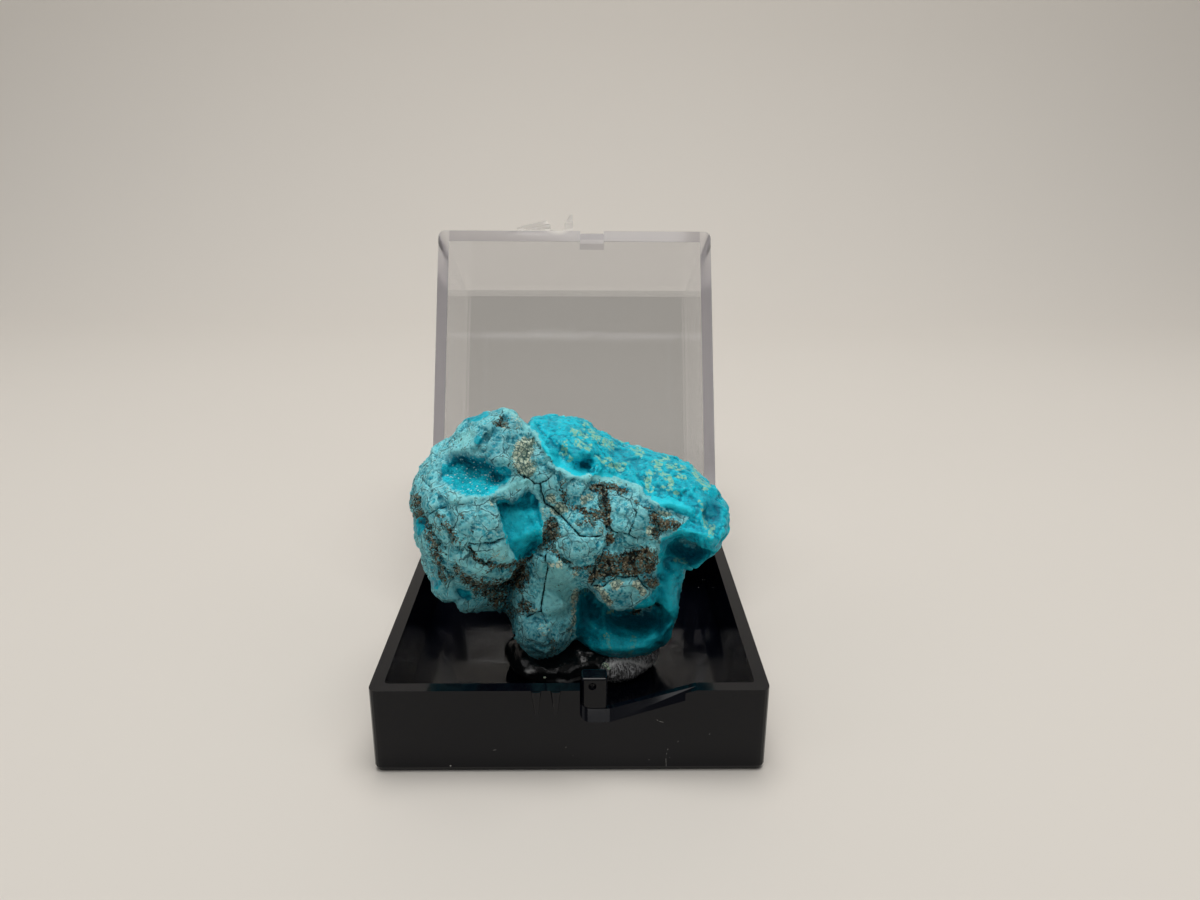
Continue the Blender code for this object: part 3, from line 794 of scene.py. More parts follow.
def fleck_sheet():
    """Yellow-green streaks in the waxy material."""
    s = sheet()
    for pts, width in (
            ([(566, 441), (563, 446), (564, 452), (568, 458), (574, 459)], 1.7),
            ([(577, 441), (583, 446), (588, 447)], 2.2),
            ([(590, 433), (597, 439), (604, 443), (613, 447)], 2.4),
            ([(580, 432), (585, 437)], 1.6), ([(583, 425), (587, 427)], 1.4),
            ([(597, 458), (603, 460), (610, 465), (618, 468), (626, 464)], 1.8),
            ([(632, 449), (640, 451)], 1.8), ([(638, 454), (641, 455)], 1.6),
            ([(652, 464), (660, 464)], 1.8), ([(647, 470), (652, 474)], 1.6),
            ([(648, 478), (649, 484), (652, 490)], 2.0),
            ([(656, 468), (664, 474), (669, 479), (672, 484)], 1.6),
            ([(664, 488), (672, 490), (677, 493)], 1.8),
            ([(678, 475), (684, 478)], 1.6), ([(693, 470), (697, 479)], 1.5),
            ([(701, 481), (709, 488)], 1.2), ([(661, 458), (669, 459)], 1.3),
            ([(712.5, 526), (711, 536)], 1.6), ([(700, 500), (704, 512), (706, 530)], 0.9),
            ([(668, 466), (684, 468)], 1.0), ([(571, 430), (577, 433)], 1.2),
            ([(606, 634), (609, 642), (611, 650)], 1.4),
            ([(634, 638), (632, 646), (630, 653)], 1.8),
            ([(645, 652), (651, 655)], 1.0), ([(676, 560), (686, 561)], 2.0)):
        s = over(s, stroke(pts, width, 1.2))
    return s


def stone_sheets():
    crack, cut = sheet(), sheet()
    for pts, power in CRACKS:
        d = line_distance(pts)
        crack = np.maximum(crack, min(power, 1.1) * np.exp(-(d / (0.40 + 0.38 * power)) ** 2))
        cut = np.maximum(cut, power * np.exp(-(d / (0.75 + 0.4 * power)) ** 2))
    rim = sheet()
    for pts, power in CRACKS:
        d = line_distance(pts)
        rim = np.maximum(rim, 0.5 * min(power, 1) * np.exp(-((d - 2.7) / 1.3) ** 2))
    return {"crack": crack, "cut": cut, "brown": soften(brown_sheet(), 16),
            "cream": soften(cream_sheet(), 6), "wax": wax_sheet(),
            "deep_teal_and_shade": soften(deep_teal_and_shade_sheet(), 6),
            "pale_and_painted_light": np.maximum(soften(pale_and_painted_light_sheet(), 4), rim * (1 - wax_sheet())),
            "fleck": soften(fleck_sheet(), 10)}


def seen_from_front(v, n):
    px, py, z = to_front(v)
    toward = EYE - v
    toward /= np.linalg.norm(toward, axis=1)[:, None]
    facing = (n * toward).sum(1)
    cell = 4.0
    w, h = 100, 100
    i = np.clip(((px - X0) / cell).astype(int) + 2, 0, w - 1)
    j = np.clip(((py - Y0) / cell).astype(int) + 2, 0, h - 1)
    near = np.full((w, h), 1e6)
    np.minimum.at(near, (i, j), np.where(facing > 0, z, 1e6))
    wide = near.copy()
    for di in (-1, 0, 1):
        for dj in (-1, 0, 1):
            wide = np.minimum(wide, np.roll(near, (di, dj), (0, 1)))
    hidden = smoothstep(4.5, 7.0, z - wide[i, j])
    return smoothstep(-0.22, 0.02, facing) * (1 - hidden)


def make_stone(material):
    outline = area_distance(OUTLINE)
    relief = front_relief()
    depth = front_depth(outline)

    def form(p):
        px, py, z = to_front(p)
        behind = z - read(depth, px, py)
        share = (1 - smoothstep(4.0, 9.0, behind)) * (
            1 - smoothstep(2.0, 8.0, read(outline, px, py)))
        wx = px + 2.6 * noise(p, 1.5, 21) + 1.3 * noise(p, 0.7, 22)
        wy = py + 2.6 * noise(p, 1.5, 23) + 1.3 * noise(p, 0.7, 24)
        shift = read(relief, wx, wy) * share
        return body(p - AHEAD[None] * shift[:, None], outline)

    low, high, h = np.array([-14.6, -13.4, 2.4]), np.array([14.6, 11.4, 27.9]), 0.3
    n = np.ceil((high - low) / h).astype(int) + 1
    axes = [low[k] + h * np.arange(n[k]) for k in range(3)]
    field = np.empty(tuple(n), np.float32)
    yy, zz = np.meshgrid(axes[1], axes[2], indexing="ij")
    for i0 in range(0, n[0], 12):
        i1 = min(i0 + 12, n[0])
        xs = axes[0][i0:i1]
        p = np.empty((i1 - i0, n[1], n[2], 3))
        p[..., 0] = xs[:, None, None]
        p[..., 1], p[..., 2] = yy, zz
        field[i0:i1] = form(p.reshape(-1, 3)).reshape(i1 - i0, n[1], n[2])
    for k in range(3):
        for end in (0, -1):
            s = [slice(None)] * 3
            s[k] = end
            field[tuple(s)] = np.maximum(field[tuple(s)], 0.05)
    v, t = surface_net(field, low, h)
    v, t = largest_part(v, t)

    marks = stone_sheets()

    def settle(points, rounds=2):
        for _ in range(rounds):
            d = form(points)
            g = np.stack([form(points + e) - form(points - e)
                          for e in 0.06 * np.eye(3)], 1) / 0.12
            g2 = (g * g).sum(1) + 0.05
            step = (np.clip(d, -0.12, 0.12) / g2)[:, None] * g
            points = points - np.clip(step, -0.15, 0.15)
        return points

    normal = normals_of(v, t)
    seen = seen_from_front(v, normal)
    px, py, _ = to_front(v)
    busy = np.clip(read(marks["cut"], px, py) + read(soften(marks["cut"], 6), px, py) * 2, 0, 1)
    crumbly = read(marks["cream"], px, py)
    want = mix(0.46, mix(0.235, 0.15, np.maximum(busy, 0.0)), seen)
    for _ in range(3):
        v, t, want, changed = split_long(v, t, want)
        if not changed:
            break
    v = settle(v, 2)

    normal = normals_of(v, t)
    seen = seen_from_front(v, normal)
    px, py, z = to_front(v)
    # a little unevenness so that no drawn edge is a plain curve
    wx = px + 1.3 * noise(v, 0.55, 3) + 0.7 * noise(v, 0.28, 5)
    wy = py + 1.3 * noise(v, 0.55, 4) + 0.7 * noise(v, 0.28, 6)
    front = {k: read(s, px, py) if k in ("crack", "cut") else read(s, wx, wy)
             for k, s in marks.items()}
    inner = np.clip(-read(outline, px, py) / 6.0, 0, 1)

    # the same kinds of surface where the stone is turned away, by broad noise
    big, mid, fine = fbm(v, 7.0, 3, 31), fbm(v, 2.6, 3, 32), fbm(v, 0.9, 3, 33)
    low_down = smoothstep(13.0, 6.0, v[:, 2])
    f1, f2, who = cells(v + 0.5 * np.stack([mid, fine, big], 1), 3.4, 41)
    seam = 1 - smoothstep(0.0, 0.035, f2 - f1)
    back_wax = smoothstep(-0.05, 0.18, big + 0.45 * mid + 0.25 * smoothstep(14, 24, v[:, 2]))
    back_brown = smoothstep(0.12, 0.32, fbm(v, 3.6, 4, 35) - 0.25 * back_wax + 0.10 * low_down)
    back_cream = smoothstep(0.22, 0.40, fbm(v, 2.2, 3, 36)) * (1 - back_wax)
    back = {
        "brown": back_brown, "cream": 0.9 * back_cream, "wax": back_wax,
        "deep_teal_and_shade": 0.6 * smoothstep(0.1, 0.5, -mid) * back_wax,
        "pale_and_painted_light": 0.8 * smoothstep(0.15, 0.5, fbm(v, 1.6, 2, 37)),
        "crack": seam * (1 - back_wax), "cut": seam * (1 - back_wax),
        "fleck": smoothstep(0.25, 0.42, fbm(v * (1, 1, 2.2), 1.1, 3, 38)) * back_wax,
    }
    # on its sides the front's own marks run on as far as they are seen
    a = {k: mix(back[k], front[k], seen) for k in front}

    # ---- fine form
    wax, brown, cream = a["wax"], a["brown"], a["cream"]
    brown = smoothstep(0.25, 0.65, brown + 0.35 * fbm(v, 0.5, 2, 84))
    chalk = np.clip(1 - wax - brown, 0, 1)
    c1, c2, cw = cells(v + 0.04 * fine[:, None], 0.52, 51)
    crumb = np.clip(1 - c1 * 1.25, 0, 1) ** 0.6
    gap = 1 - smoothstep(0.03, 0.18, c2 - c1)
    slab, slab_gap = facets(v + 0.25 * mid[:, None], 2.3, 61, 0.015)
    chip, chip_gap = facets(v + 0.10 * fine[:, None], 1.05, 62, 0.03)
    flake, flake_gap = facets(v, 0.52, 63, 0.05)
    d1, d2, dw = cells(v, 0.33, 71)
    grain = fbm(v, 0.34, 2, 81)
    rough = fbm(v, 0.75, 3, 82)
    lump = fbm(v, 1.5, 2, 83)
    up = -0.20 * np.clip(a["cut"], 0, 1.3)
    up += cream * (0.17 * crumb - 0.12 * gap + 0.10 * (cw - 0.5)) * (1 - 0.5 * brown)
    up += brown * (0.16 * rough + 0.12 * grain + 0.10 * lump + 0.14 * flake)
    up += chalk * (0.25 * slab + 0.12 * chip + 0.05 * flake + 0.05 * rough
                   + 0.03 * grain)
    upper = smoothstep(12.5, 17.5, v[:, 2]) * (1 - smoothstep(0.2, 0.8, a["pale_and_painted_light"]))
    up += wax * upper * (0.14 * chip + 0.11 * rough + 0.06 * grain + 0.10 * lump)
    up += wax * (1 - upper) * (0.05 * rough + 0.05 * slab + 0.02 * grain)
    up += a["fleck"] * 0.05
    druse = front_druse(px, py) * seen
    up += druse * (0.16 * (1 - d1) + 0.05 * grain)
    v2 = v + normal * up[:, None]

    # how much each point stands out from its neighbours, at two sizes
    out = normals_of(v2, t)
    hill = standing(v2, t, out, 1)
    broad_hill = standing(v2, t, out, 5)
    a["edge"] = np.clip(0.5 + 9.0 * hill + 3.0 * broad_hill, 0, 1)

    a["druse"] = druse
    a["gap"] = cream * gap
    a["who"] = cw
    # the closed lid's side walls stand clear of the stone
    reach = np.abs(v2[:, 0])
    kept = 13.7 + 0.4 * (1 - np.exp(-(reach - 13.7) / 0.4))
    v2[:, 0] = np.where(reach > 13.7, np.sign(v2[:, 0]) * kept, v2[:, 0])
    lowest = 2.7
    v2[:, 2] = np.maximum(v2[:, 2], lowest)
    attributes = {("m_" + k): np.clip(x, 0, 1) for k, x in a.items() if k != "cut"}
    obj = mesh_object("raw_chrysocolla", v2, t, attributes, material)
    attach(obj, "base")
    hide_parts("chrysocolla")
    print("stone", len(v2), "vertices", len(t), "triangles")
    return obj


def standing(v, t, n, rounds):
    """Height of each point over the mean of the points around it, in mm."""
    e = np.concatenate([t[:, [0, 1]], t[:, [1, 2]], t[:, [2, 0]]])
    count = np.bincount(e[:, 0], minlength=len(v)) + 1e-9
    mean = v.copy()
    for _ in range(rounds):
        mean = np.stack([np.bincount(e[:, 0], mean[e[:, 1], k], len(v)) / count
                         for k in range(3)], 1)
    return ((v - mean) * n).sum(1)


def front_druse(px, py):
    s = dab(472, 475, 29, 19, 12, edge=0.3)
    return read(s, px, py)


def largest_part(v, t):
    """Drops small loose parts of a surface."""
    label = np.arange(len(v))
    for _ in range(400):
        m = label[t].min(1)
        new = label.copy()
        for k in range(3):
            np.minimum.at(new, t[:, k], m)
        new = new[new]
        if (new == label).all():
            break
        label = new
    names, counts = np.unique(label, return_counts=True)
    keep = label == names[counts.argmax()]
    t = t[keep[t[:, 0]]]
    index = np.cumsum(keep) - 1
    return v[keep], index[t]


# ------------------------------------------------------------------ materials
class Nodes:
    """A short way to write a material's node tree."""

    def __init__(self, name):
        self.mat = bpy.data.materials.new(name)
        self.mat.use_nodes = True
        self.t = self.mat.node_tree
        self.bsdf = self.t.nodes["Principled BSDF"]
        self.place = self.t.nodes.new("ShaderNodeTexCoord").outputs["Object"]

    def put(self, socket, value):
        if isinstance(value, bpy.types.NodeSocket):
            self.t.links.new(value, socket)
        elif isinstance(value, (tuple, list)) and len(value) == 3 and \
                socket.type == "RGBA":
            socket.default_value = (*value, 1.0)
        else:
            socket.default_value = value

    def set(self, **values):
        for key, value in values.items():
            self.put(self.bsdf.inputs[key.replace("_", " ")], value)

    def att(self, name):
        n = self.t.nodes.new("ShaderNodeAttribute")
        n.attribute_name = name
        return n.outputs["Fac"]

    def math(self, op, a, b=0.0, c=0.0, clamp=False):
        n = self.t.nodes.new("ShaderNodeMath")
        n.operation = op
        n.use_clamp = clamp
        for s, x in zip(n.inputs, (a, b, c)):
            self.put(s, x)
        return n.outputs[0]

    def add(self, *xs):
        out = xs[0]
        for x in xs[1:]:
            out = self.math("ADD", out, x)
        return out

    def mul(self, *xs):
        out = xs[0]
        for x in xs[1:]:
            out = self.math("MULTIPLY", out, x)
        return out

    def ramp(self, x, a, b, lo=0.0, hi=1.0, smooth=True):
        n = self.t.nodes.new("ShaderNodeMapRange")
        n.interpolation_type = "SMOOTHSTEP" if smooth else "LINEAR"
        for s, y in zip(("Value", "From Min", "From Max", "To Min", "To Max"),
                        (x, a, b, lo, hi)):
            self.put(n.inputs[s], y)
        return n.outputs[0]

    def noise(self, size_mm, detail=3.0, rough=0.55, distort=0.0, where=None):
        n = self.t.nodes.new("ShaderNodeTexNoise")
        self.put(n.inputs["Vector"], where or self.place)
        n.inputs["Scale"].default_value = 1000.0 / size_mm
        n.inputs["Detail"].default_value = detail
        n.inputs["Roughness"].default_value = rough
        n.inputs["Distortion"].default_value = distort
        return n.outputs["Fac"], n.outputs["Color"]

    def cells(self, size_mm, feature="F1", where=None, jitter=1.0):
        n = self.t.nodes.new("ShaderNodeTexVoronoi")
        n.feature = feature
        self.put(n.inputs["Vector"], where or self.place)
        n.inputs["Scale"].default_value = 1000.0 / size_mm
        n.inputs["Randomness"].default_value = jitter
        return n.outputs["Distance"], n.outputs.get("Color")

    def warp(self, size_mm, amount_mm):
        """The place, shifted by noise."""
        _, colour = self.noise(size_mm, 2.0)
        a = self.t.nodes.new("ShaderNodeVectorMath")
        a.operation = "SUBTRACT"
        self.put(a.inputs[0], colour)
        a.inputs[1].default_value = (0.5, 0.5, 0.5)
        b = self.t.nodes.new("ShaderNodeVectorMath")
        b.operation = "SCALE"
        self.put(b.inputs[0], a.outputs[0])
        b.inputs["Scale"].default_value = 2 * amount_mm * MM
        c = self.t.nodes.new("ShaderNodeVectorMath")
        c.operation = "ADD"
        self.put(c.inputs[0], self.place)
        self.put(c.inputs[1], b.outputs[0])
        return c.outputs[0]

    def stretch(self, scale, where=None):
        n = self.t.nodes.new("ShaderNodeMapping")
        self.put(n.inputs["Vector"], where or self.place)
        n.inputs["Scale"].default_value = scale
        return n.outputs[0]

    def mix(self, fac, a, b):
        n = self.t.nodes.new("ShaderNodeMix")
        n.data_type = "RGBA"
        self.put(n.inputs["Factor"], fac)
        self.put(n.inputs[6], a)
        self.put(n.inputs[7], b)
        return n.outputs[2]

    def bump(self, height, distance_mm, strength=1.0, before=None):
        n = self.t.nodes.new("ShaderNodeBump")
        n.inputs["Strength"].default_value = strength
        n.inputs["Distance"].default_value = distance_mm * MM
        self.put(n.inputs["Height"], height)
        if before is not None:
            self.put(n.inputs["Normal"], before)
        return n.outputs[0]


def stone_material():
    m = Nodes("chrysocolla_rough")
    brown, cream, wax = m.att("m_brown"), m.att("m_cream"), m.att("m_wax")
    deep_teal_and_shade, pale_and_painted_light, crack = m.att("m_deep_teal_and_shade"), m.att("m_pale_and_painted_light"), m.att("m_crack")
    fleck, gap, druse = m.att("m_fleck"), m.att("m_gap"), m.att("m_druse")
    who, edge = m.att("m_who"), m.att("m_edge")
    # painted light and shade from the relief: ridge gives a painted highlight where the surface stands
    # out, pit a painted shade in recesses
    ridge, pit = m.ramp(edge, 0.56, 0.90), m.ramp(edge, 0.44, 0.12)

    broad, _ = m.noise(1.6, 4.0, 0.6)
    mid, _ = m.noise(0.55, 4.0, 0.6)
    fine, _ = m.noise(0.17, 3.0, 0.65)
    dust, _ = m.noise(0.08, 2.0, 0.6)
    warped = m.warp(0.40, 0.16)
    veins, _ = m.cells(0.62, "DISTANCE_TO_EDGE", warped)
    veins2, _ = m.cells(0.30, "DISTANCE_TO_EDGE", warped)
    grit, tint = m.cells(0.20, "F1", warped)
    tone = m.t.nodes.new("ShaderNodeSeparateColor")
    m.put(tone.inputs[0], tint)
    grey, other = tone.outputs[0], tone.outputs[1]

    # chalky turquoise with a pale net of veins, pale grains and dark pores
    chalk = m.mix(m.ramp(m.add(m.mul(mid, 0.55), m.mul(broad, 0.25), m.mul(fine, 0.20)),
                         0.38, 0.62), (0.004, 0.205, 0.305), (0.030, 0.555, 0.700))
    net = m.mul(m.ramp(veins, 0.19, 0.03), m.ramp(mid, 0.34, 0.50))
    net2 = m.mul(m.ramp(veins2, 0.20, 0.03), m.ramp(broad, 0.44, 0.60))
    net = m.math("MAXIMUM", net, net2)
    chalk = m.mix(m.mul(net, 0.84), chalk, (0.250, 0.750, 0.815))
    chalk = m.mix(m.mul(m.ramp(grey, 0.50, 0.80), m.ramp(grit, 0.62, 0.30), 0.62), chalk,
                  (0.480, 0.800, 0.790))
    chalk = m.mix(m.mul(m.ramp(grey, 0.12, 0.05), m.ramp(grit, 0.60, 0.30), 0.50), chalk,
                  (0.006, 0.120, 0.170))
    chalk = m.mix(m.mul(m.ramp(fine, 0.33, 0.25), 0.45), chalk, (0.006, 0.115, 0.165))
    # painted highlight on ridges and painted shade in recesses
    chalk = m.mix(m.mul(ridge, 0.65), chalk, (0.300, 0.780, 0.830))
    chalk = m.mix(m.mul(pit, 0.55), chalk, (0.006, 0.130, 0.185))
    # crust broken into plates: each of its own tone, pale along thin joints
    around = m.warp(0.9, 0.30)
    joint, _ = m.cells(1.55, "DISTANCE_TO_EDGE", around)
    _, plate_tint = m.cells(1.55, "F1", around)
    plate = m.t.nodes.new("ShaderNodeSeparateColor")
    m.put(plate.inputs[0], plate_tint)
    crusted = m.ramp(broad, 0.40, 0.54)
    chalk = m.mix(m.mul(m.ramp(plate.outputs[0], 0.55, 0.85), 0.34), chalk,
                  (0.006, 0.170, 0.250))
    chalk = m.mix(m.mul(m.ramp(plate.outputs[1], 0.60, 0.90), 0.30), chalk,
                  (0.240, 0.760, 0.820))
    chalk = m.mix(m.mul(m.ramp(joint, 0.17, 0.05), crusted, 0.50), chalk,
                  (0.360, 0.790, 0.820))
    chalk = m.mix(m.mul(m.ramp(joint, 0.036, 0.014), crusted, 0.85), chalk,
                  (0.004, 0.070, 0.095))
    # scattered brown grains
    grains = m.mul(m.ramp(m.add(m.mul(fine, 0.40), m.mul(broad, 0.35), m.mul(mid, 0.25)),
                          0.572, 0.602), 0.55)
    chalk = m.mix(grains, chalk, (0.160, 0.135, 0.085))

    # waxy blue-green
    waxy = m.mix(m.ramp(m.add(m.mul(broad, 0.5), m.mul(mid, 0.5)), 0.38, 0.64),
                 (0.000, 0.310, 0.440), (0.000, 0.640, 0.820))
    waxy = m.mix(m.mul(m.ramp(fine, 0.54, 0.70), 0.45), waxy, (0.002, 0.720, 0.880))
    # painted highlight on ridges and painted shade in recesses
    waxy = m.mix(m.mul(ridge, 0.45), waxy, (0.015, 0.720, 0.840))
    waxy = m.mix(m.mul(pit, 0.60), waxy, (0.000, 0.150, 0.230))
    waxy = m.mix(m.mul(m.ramp(dust, 0.62, 0.72), m.ramp(mid, 0.52, 0.66), 0.6), waxy,
                 (0.230, 0.640, 0.520))
    clump, shade = m.cells(0.30, "F1", m.warp(0.36, 0.20))
    pick = m.t.nodes.new("ShaderNodeSeparateColor")
    m.put(pick.inputs[0], shade)
    flecks = m.mul(m.ramp(clump, 0.66, 0.44),
                   m.ramp(m.add(m.mul(fleck, 2.4), pick.outputs[0]), 0.92, 1.06),
                   m.ramp(fleck, 0.10, 0.24))
    tiny = m.mul(m.ramp(grit, 0.55, 0.30), m.ramp(grey, 0.78, 0.86), m.ramp(mid, 0.42, 0.54),
                 m.ramp(deep_teal_and_shade, 0.30, 0.05))
    waxy = m.mix(m.mul(tiny, 0.50), waxy, (0.200, 0.720, 0.680))
    waxy = m.mix(m.mul(flecks, 0.85), waxy,
                 m.mix(other, (0.200, 0.600, 0.440), (0.420, 0.720, 0.480)))

    # painted glints: near-white specks in the sparkling hollow stand in for light flashing off its tiny
    # crystals
    painted_glints = m.mul(m.ramp(grit, 0.55, 0.30), m.ramp(grey, 0.78, 0.84), druse)

    is_wax = m.ramp(m.add(wax, m.mul(m.math("SUBTRACT", mid, 0.5), 0.9),
                          m.mul(m.math("SUBTRACT", fine, 0.5), 0.5)), 0.40, 0.60)
    colour = m.mix(is_wax, chalk, waxy)
    # pale bands of the stone, together with painted light over the shaded pit, hollow and lip
    pale_and_lit = m.mul(m.ramp(m.add(pale_and_painted_light, m.mul(m.math("SUBTRACT", mid, 0.5), 0.7),
                               m.mul(m.math("SUBTRACT", fine, 0.5), 0.6)),
                         0.18, 0.85), 0.85)
    colour = m.mix(pale_and_lit, colour,
                   m.mix(is_wax, (0.290, 0.780, 0.810), (0.020, 0.760, 0.930)))
    # darker teal in hollows and thin facets, partly the stone's own colour and partly painted shade
    colour = m.mix(m.mul(deep_teal_and_shade, 0.86), colour, (0.000, 0.085, 0.150))

    colour = m.mix(m.mul(painted_glints, 0.85), colour, (0.620, 0.930, 0.930))

    # cream crumbs
    # lighter where the surface stands out, partly the crumbs' own mottling and partly painted light
    creamy = m.mix(m.ramp(m.add(m.mul(fine, 0.6), m.mul(edge, 0.4)), 0.38, 0.62),
                   (0.310, 0.440, 0.340), (0.740, 0.830, 0.640))
    creamy = m.mix(m.mul(who, 0.35), creamy, (0.330, 0.560, 0.520))
    joints, _ = m.cells(0.46, "DISTANCE_TO_EDGE", m.warp(0.5, 0.08))
    creamy = m.mix(m.mul(m.ramp(joints, 0.11, 0.04), 0.75), creamy, (0.020, 0.110, 0.125))
    is_cream = m.ramp(m.add(cream, m.mul(is_wax, -0.30), m.mul(m.math("SUBTRACT", fine, 0.5), 1.3),
                            m.mul(m.math("SUBTRACT", mid, 0.5), 0.9)), 0.44, 0.60)
    colour = m.mix(is_cream, colour, creamy)
    colour = m.mix(m.mul(m.ramp(gap, 0.35, 0.85), 0.60), colour, (0.016, 0.080, 0.090))

    # brown matrix: clumps of grains with dark gaps, cream and teal specks
    # lighter where the surface stands out, partly the grains' own tone and partly painted light
    soil = m.mix(m.ramp(m.add(m.mul(fine, 0.5), m.mul(mid, 0.2), m.mul(edge, 0.3)), 0.38, 0.62),
                 (0.014, 0.013, 0.010), (0.118, 0.097, 0.060))
    soil = m.mix(m.mul(m.ramp(grey, 0.45, 0.90), m.ramp(grit, 0.60, 0.25), 0.80), soil,
                 (0.305, 0.265, 0.172))
    soil = m.mix(m.mul(m.ramp(grey, 0.22, 0.10), 0.80), soil, (0.006, 0.007, 0.006))
    soil = m.mix(m.mul(m.ramp(other, 0.72, 0.88), m.ramp(grit, 0.58, 0.28), 0.80), soil,
                 (0.430, 0.450, 0.350))
    soil = m.mix(m.mul(m.ramp(mid, 0.50, 0.58), m.ramp(veins2, 0.22, 0.05), 0.75), soil,
                 (0.070, 0.300, 0.330))
    # painted shade in recesses
    soil = m.mix(m.mul(pit, 0.45), soil, (0.006, 0.009, 0.009))
    is_brown = m.ramp(m.add(brown, m.mul(is_wax, -0.45), m.mul(m.math("SUBTRACT", fine, 0.5), 1.8),
                            m.mul(m.math("SUBTRACT", mid, 0.5), 2.2),
                            m.mul(m.math("SUBTRACT", broad, 0.5), 1.0)), 0.45, 0.56)
    colour = m.mix(is_brown, colour, soil)
    broken = m.math("SUBTRACT", crack, m.mul(m.ramp(mid, 0.50, 0.38), 0.25))
    colour = m.mix(m.ramp(broken, 0.28, 0.66), colour, (0.001, 0.020, 0.026))

    # gloss
    rough = m.ramp(is_wax, 0, 1, 0.72, 0.36)
    rough = m.math("ADD", rough, m.mul(is_brown, 0.25))
    rough = m.math("ADD", rough, m.mul(m.math("SUBTRACT", fine, 0.5), 0.45))
    rough = m.math("SUBTRACT", rough, m.mul(druse, 0.16), clamp=True)

    h = m.add(m.mul(fine, 0.6), m.mul(dust, 0.32), m.mul(mid, 0.4), m.mul(net, 0.22),
              m.mul(grit, is_brown, -0.5))
    n1 = m.bump(h, 0.14, 0.85)
    sparkle, _ = m.cells(0.13, "F1")
    n2 = m.bump(m.mul(sparkle, druse), 0.12, 0.9, n1)
    m.set(Base_Color=colour, Roughness=rough, Normal=n2)
    m.set(IOR=1.33, Subsurface_Weight=0.10, Subsurface_Scale=0.0005)
    m.bsdf.inputs["Subsurface Radius"].default_value = (0.35, 1.0, 1.1)
    m.set(Specular_IOR_Level=0.36, Coat_Weight=0.0)
    return m.mat


def black_plastic():
    m = Nodes("black_polystyrene")
    smear, _ = m.noise(6.0, 3.0, 0.55)
    wobble = m.warp(1.6, 0.10)
    part = m.t.nodes.new("ShaderNodeSeparateXYZ")
    m.put(part.inputs[0], wobble)
    px, py, pz = part.outputs
    broken, _ = m.noise(0.45, 2.0, 0.6)

    def scratch(x0, z0, x1, z1, half=0.035):
        """A short line on the front face, in mm."""
        length = math.hypot(x1 - x0, z1 - z0)
        ux, uz = (x1 - x0) / length, (z1 - z0) / length
        dx = m.math("SUBTRACT", px, x0 * MM)
        dz = m.math("SUBTRACT", pz, z0 * MM)
        along = m.add(m.mul(dx, ux), m.mul(dz, uz))
        across = m.math("ABSOLUTE", m.math("SUBTRACT", m.mul(dx, -uz), m.mul(dz, -ux)))
        line = m.ramp(across, half * MM, half * 0.3 * MM)
        ends = m.mul(m.ramp(along, 0.0, 0.15 * MM), m.ramp(along, length * MM,
                                                           (length - 0.15) * MM))
        return m.mul(line, ends)

    marks = None
    for item in ((6.8, 5.2, 7.1, 4.86), (7.1, 4.86, 7.6, 4.76), (7.95, 2.3, 7.82, 1.4),
                 (7.82, 1.4, 7.85, 0.45), (-6.3, 2.1, -5.9, 2.2),
                 (8.65, 2.8, 8.8, 3.0), (11.2, 3.5, 11.35, 3.7),
                 (-0.40, 2.3, -0.25, 2.45), (0.2, 1.5, 0.32, 1.6), (7.9, 6.8, 8.1, 6.95)):
        one = scratch(*item)
        marks = one if marks is None else m.math("MAXIMUM", marks, one)
    marks = m.mul(marks, m.ramp(py, -16.2 * MM, -16.4 * MM), m.ramp(broken, 0.36, 0.52))
    speck, _ = m.cells(1.9, "F1")
    keep, _ = m.noise(2.6, 2.0)
    dusty = m.mul(m.ramp(speck, 0.050, 0.022), m.ramp(keep, 0.53, 0.60))
    fine, _ = m.cells(0.8, "F1")
    dusty2 = m.mul(m.ramp(fine, 0.05, 0.02), m.ramp(keep, 0.57, 0.66), 0.5)
    dirt = m.math("MAXIMUM", m.math("MAXIMUM", dusty, dusty2), m.mul(marks, 0.45))
    colour = m.mix(dirt, m.mix(smear, (0.0006, 0.0010, 0.0030), (0.0018, 0.0022, 0.0046)),
                   (0.42, 0.42, 0.40))
    rough = m.add(m.ramp(smear, 0.35, 0.75, 0.07, 0.20), m.mul(dirt, 0.5))
    h = m.add(m.mul(smear, 0.25), m.mul(dirt, 0.8))
    m.set(Base_Color=colour, Roughness=rough, IOR=1.33, Normal=m.bump(h, 0.02, 0.35))
    return m.mat


# distances of the open lid's rim and of its plate's inner face, along the
# plate's outward direction, from the frame's origin
LID_RIM, LID_PLATE = 6.46 * MM, 26.97 * MM
SCOOP = (-1.95 * MM, 28.4 * MM, 40.3 * MM)


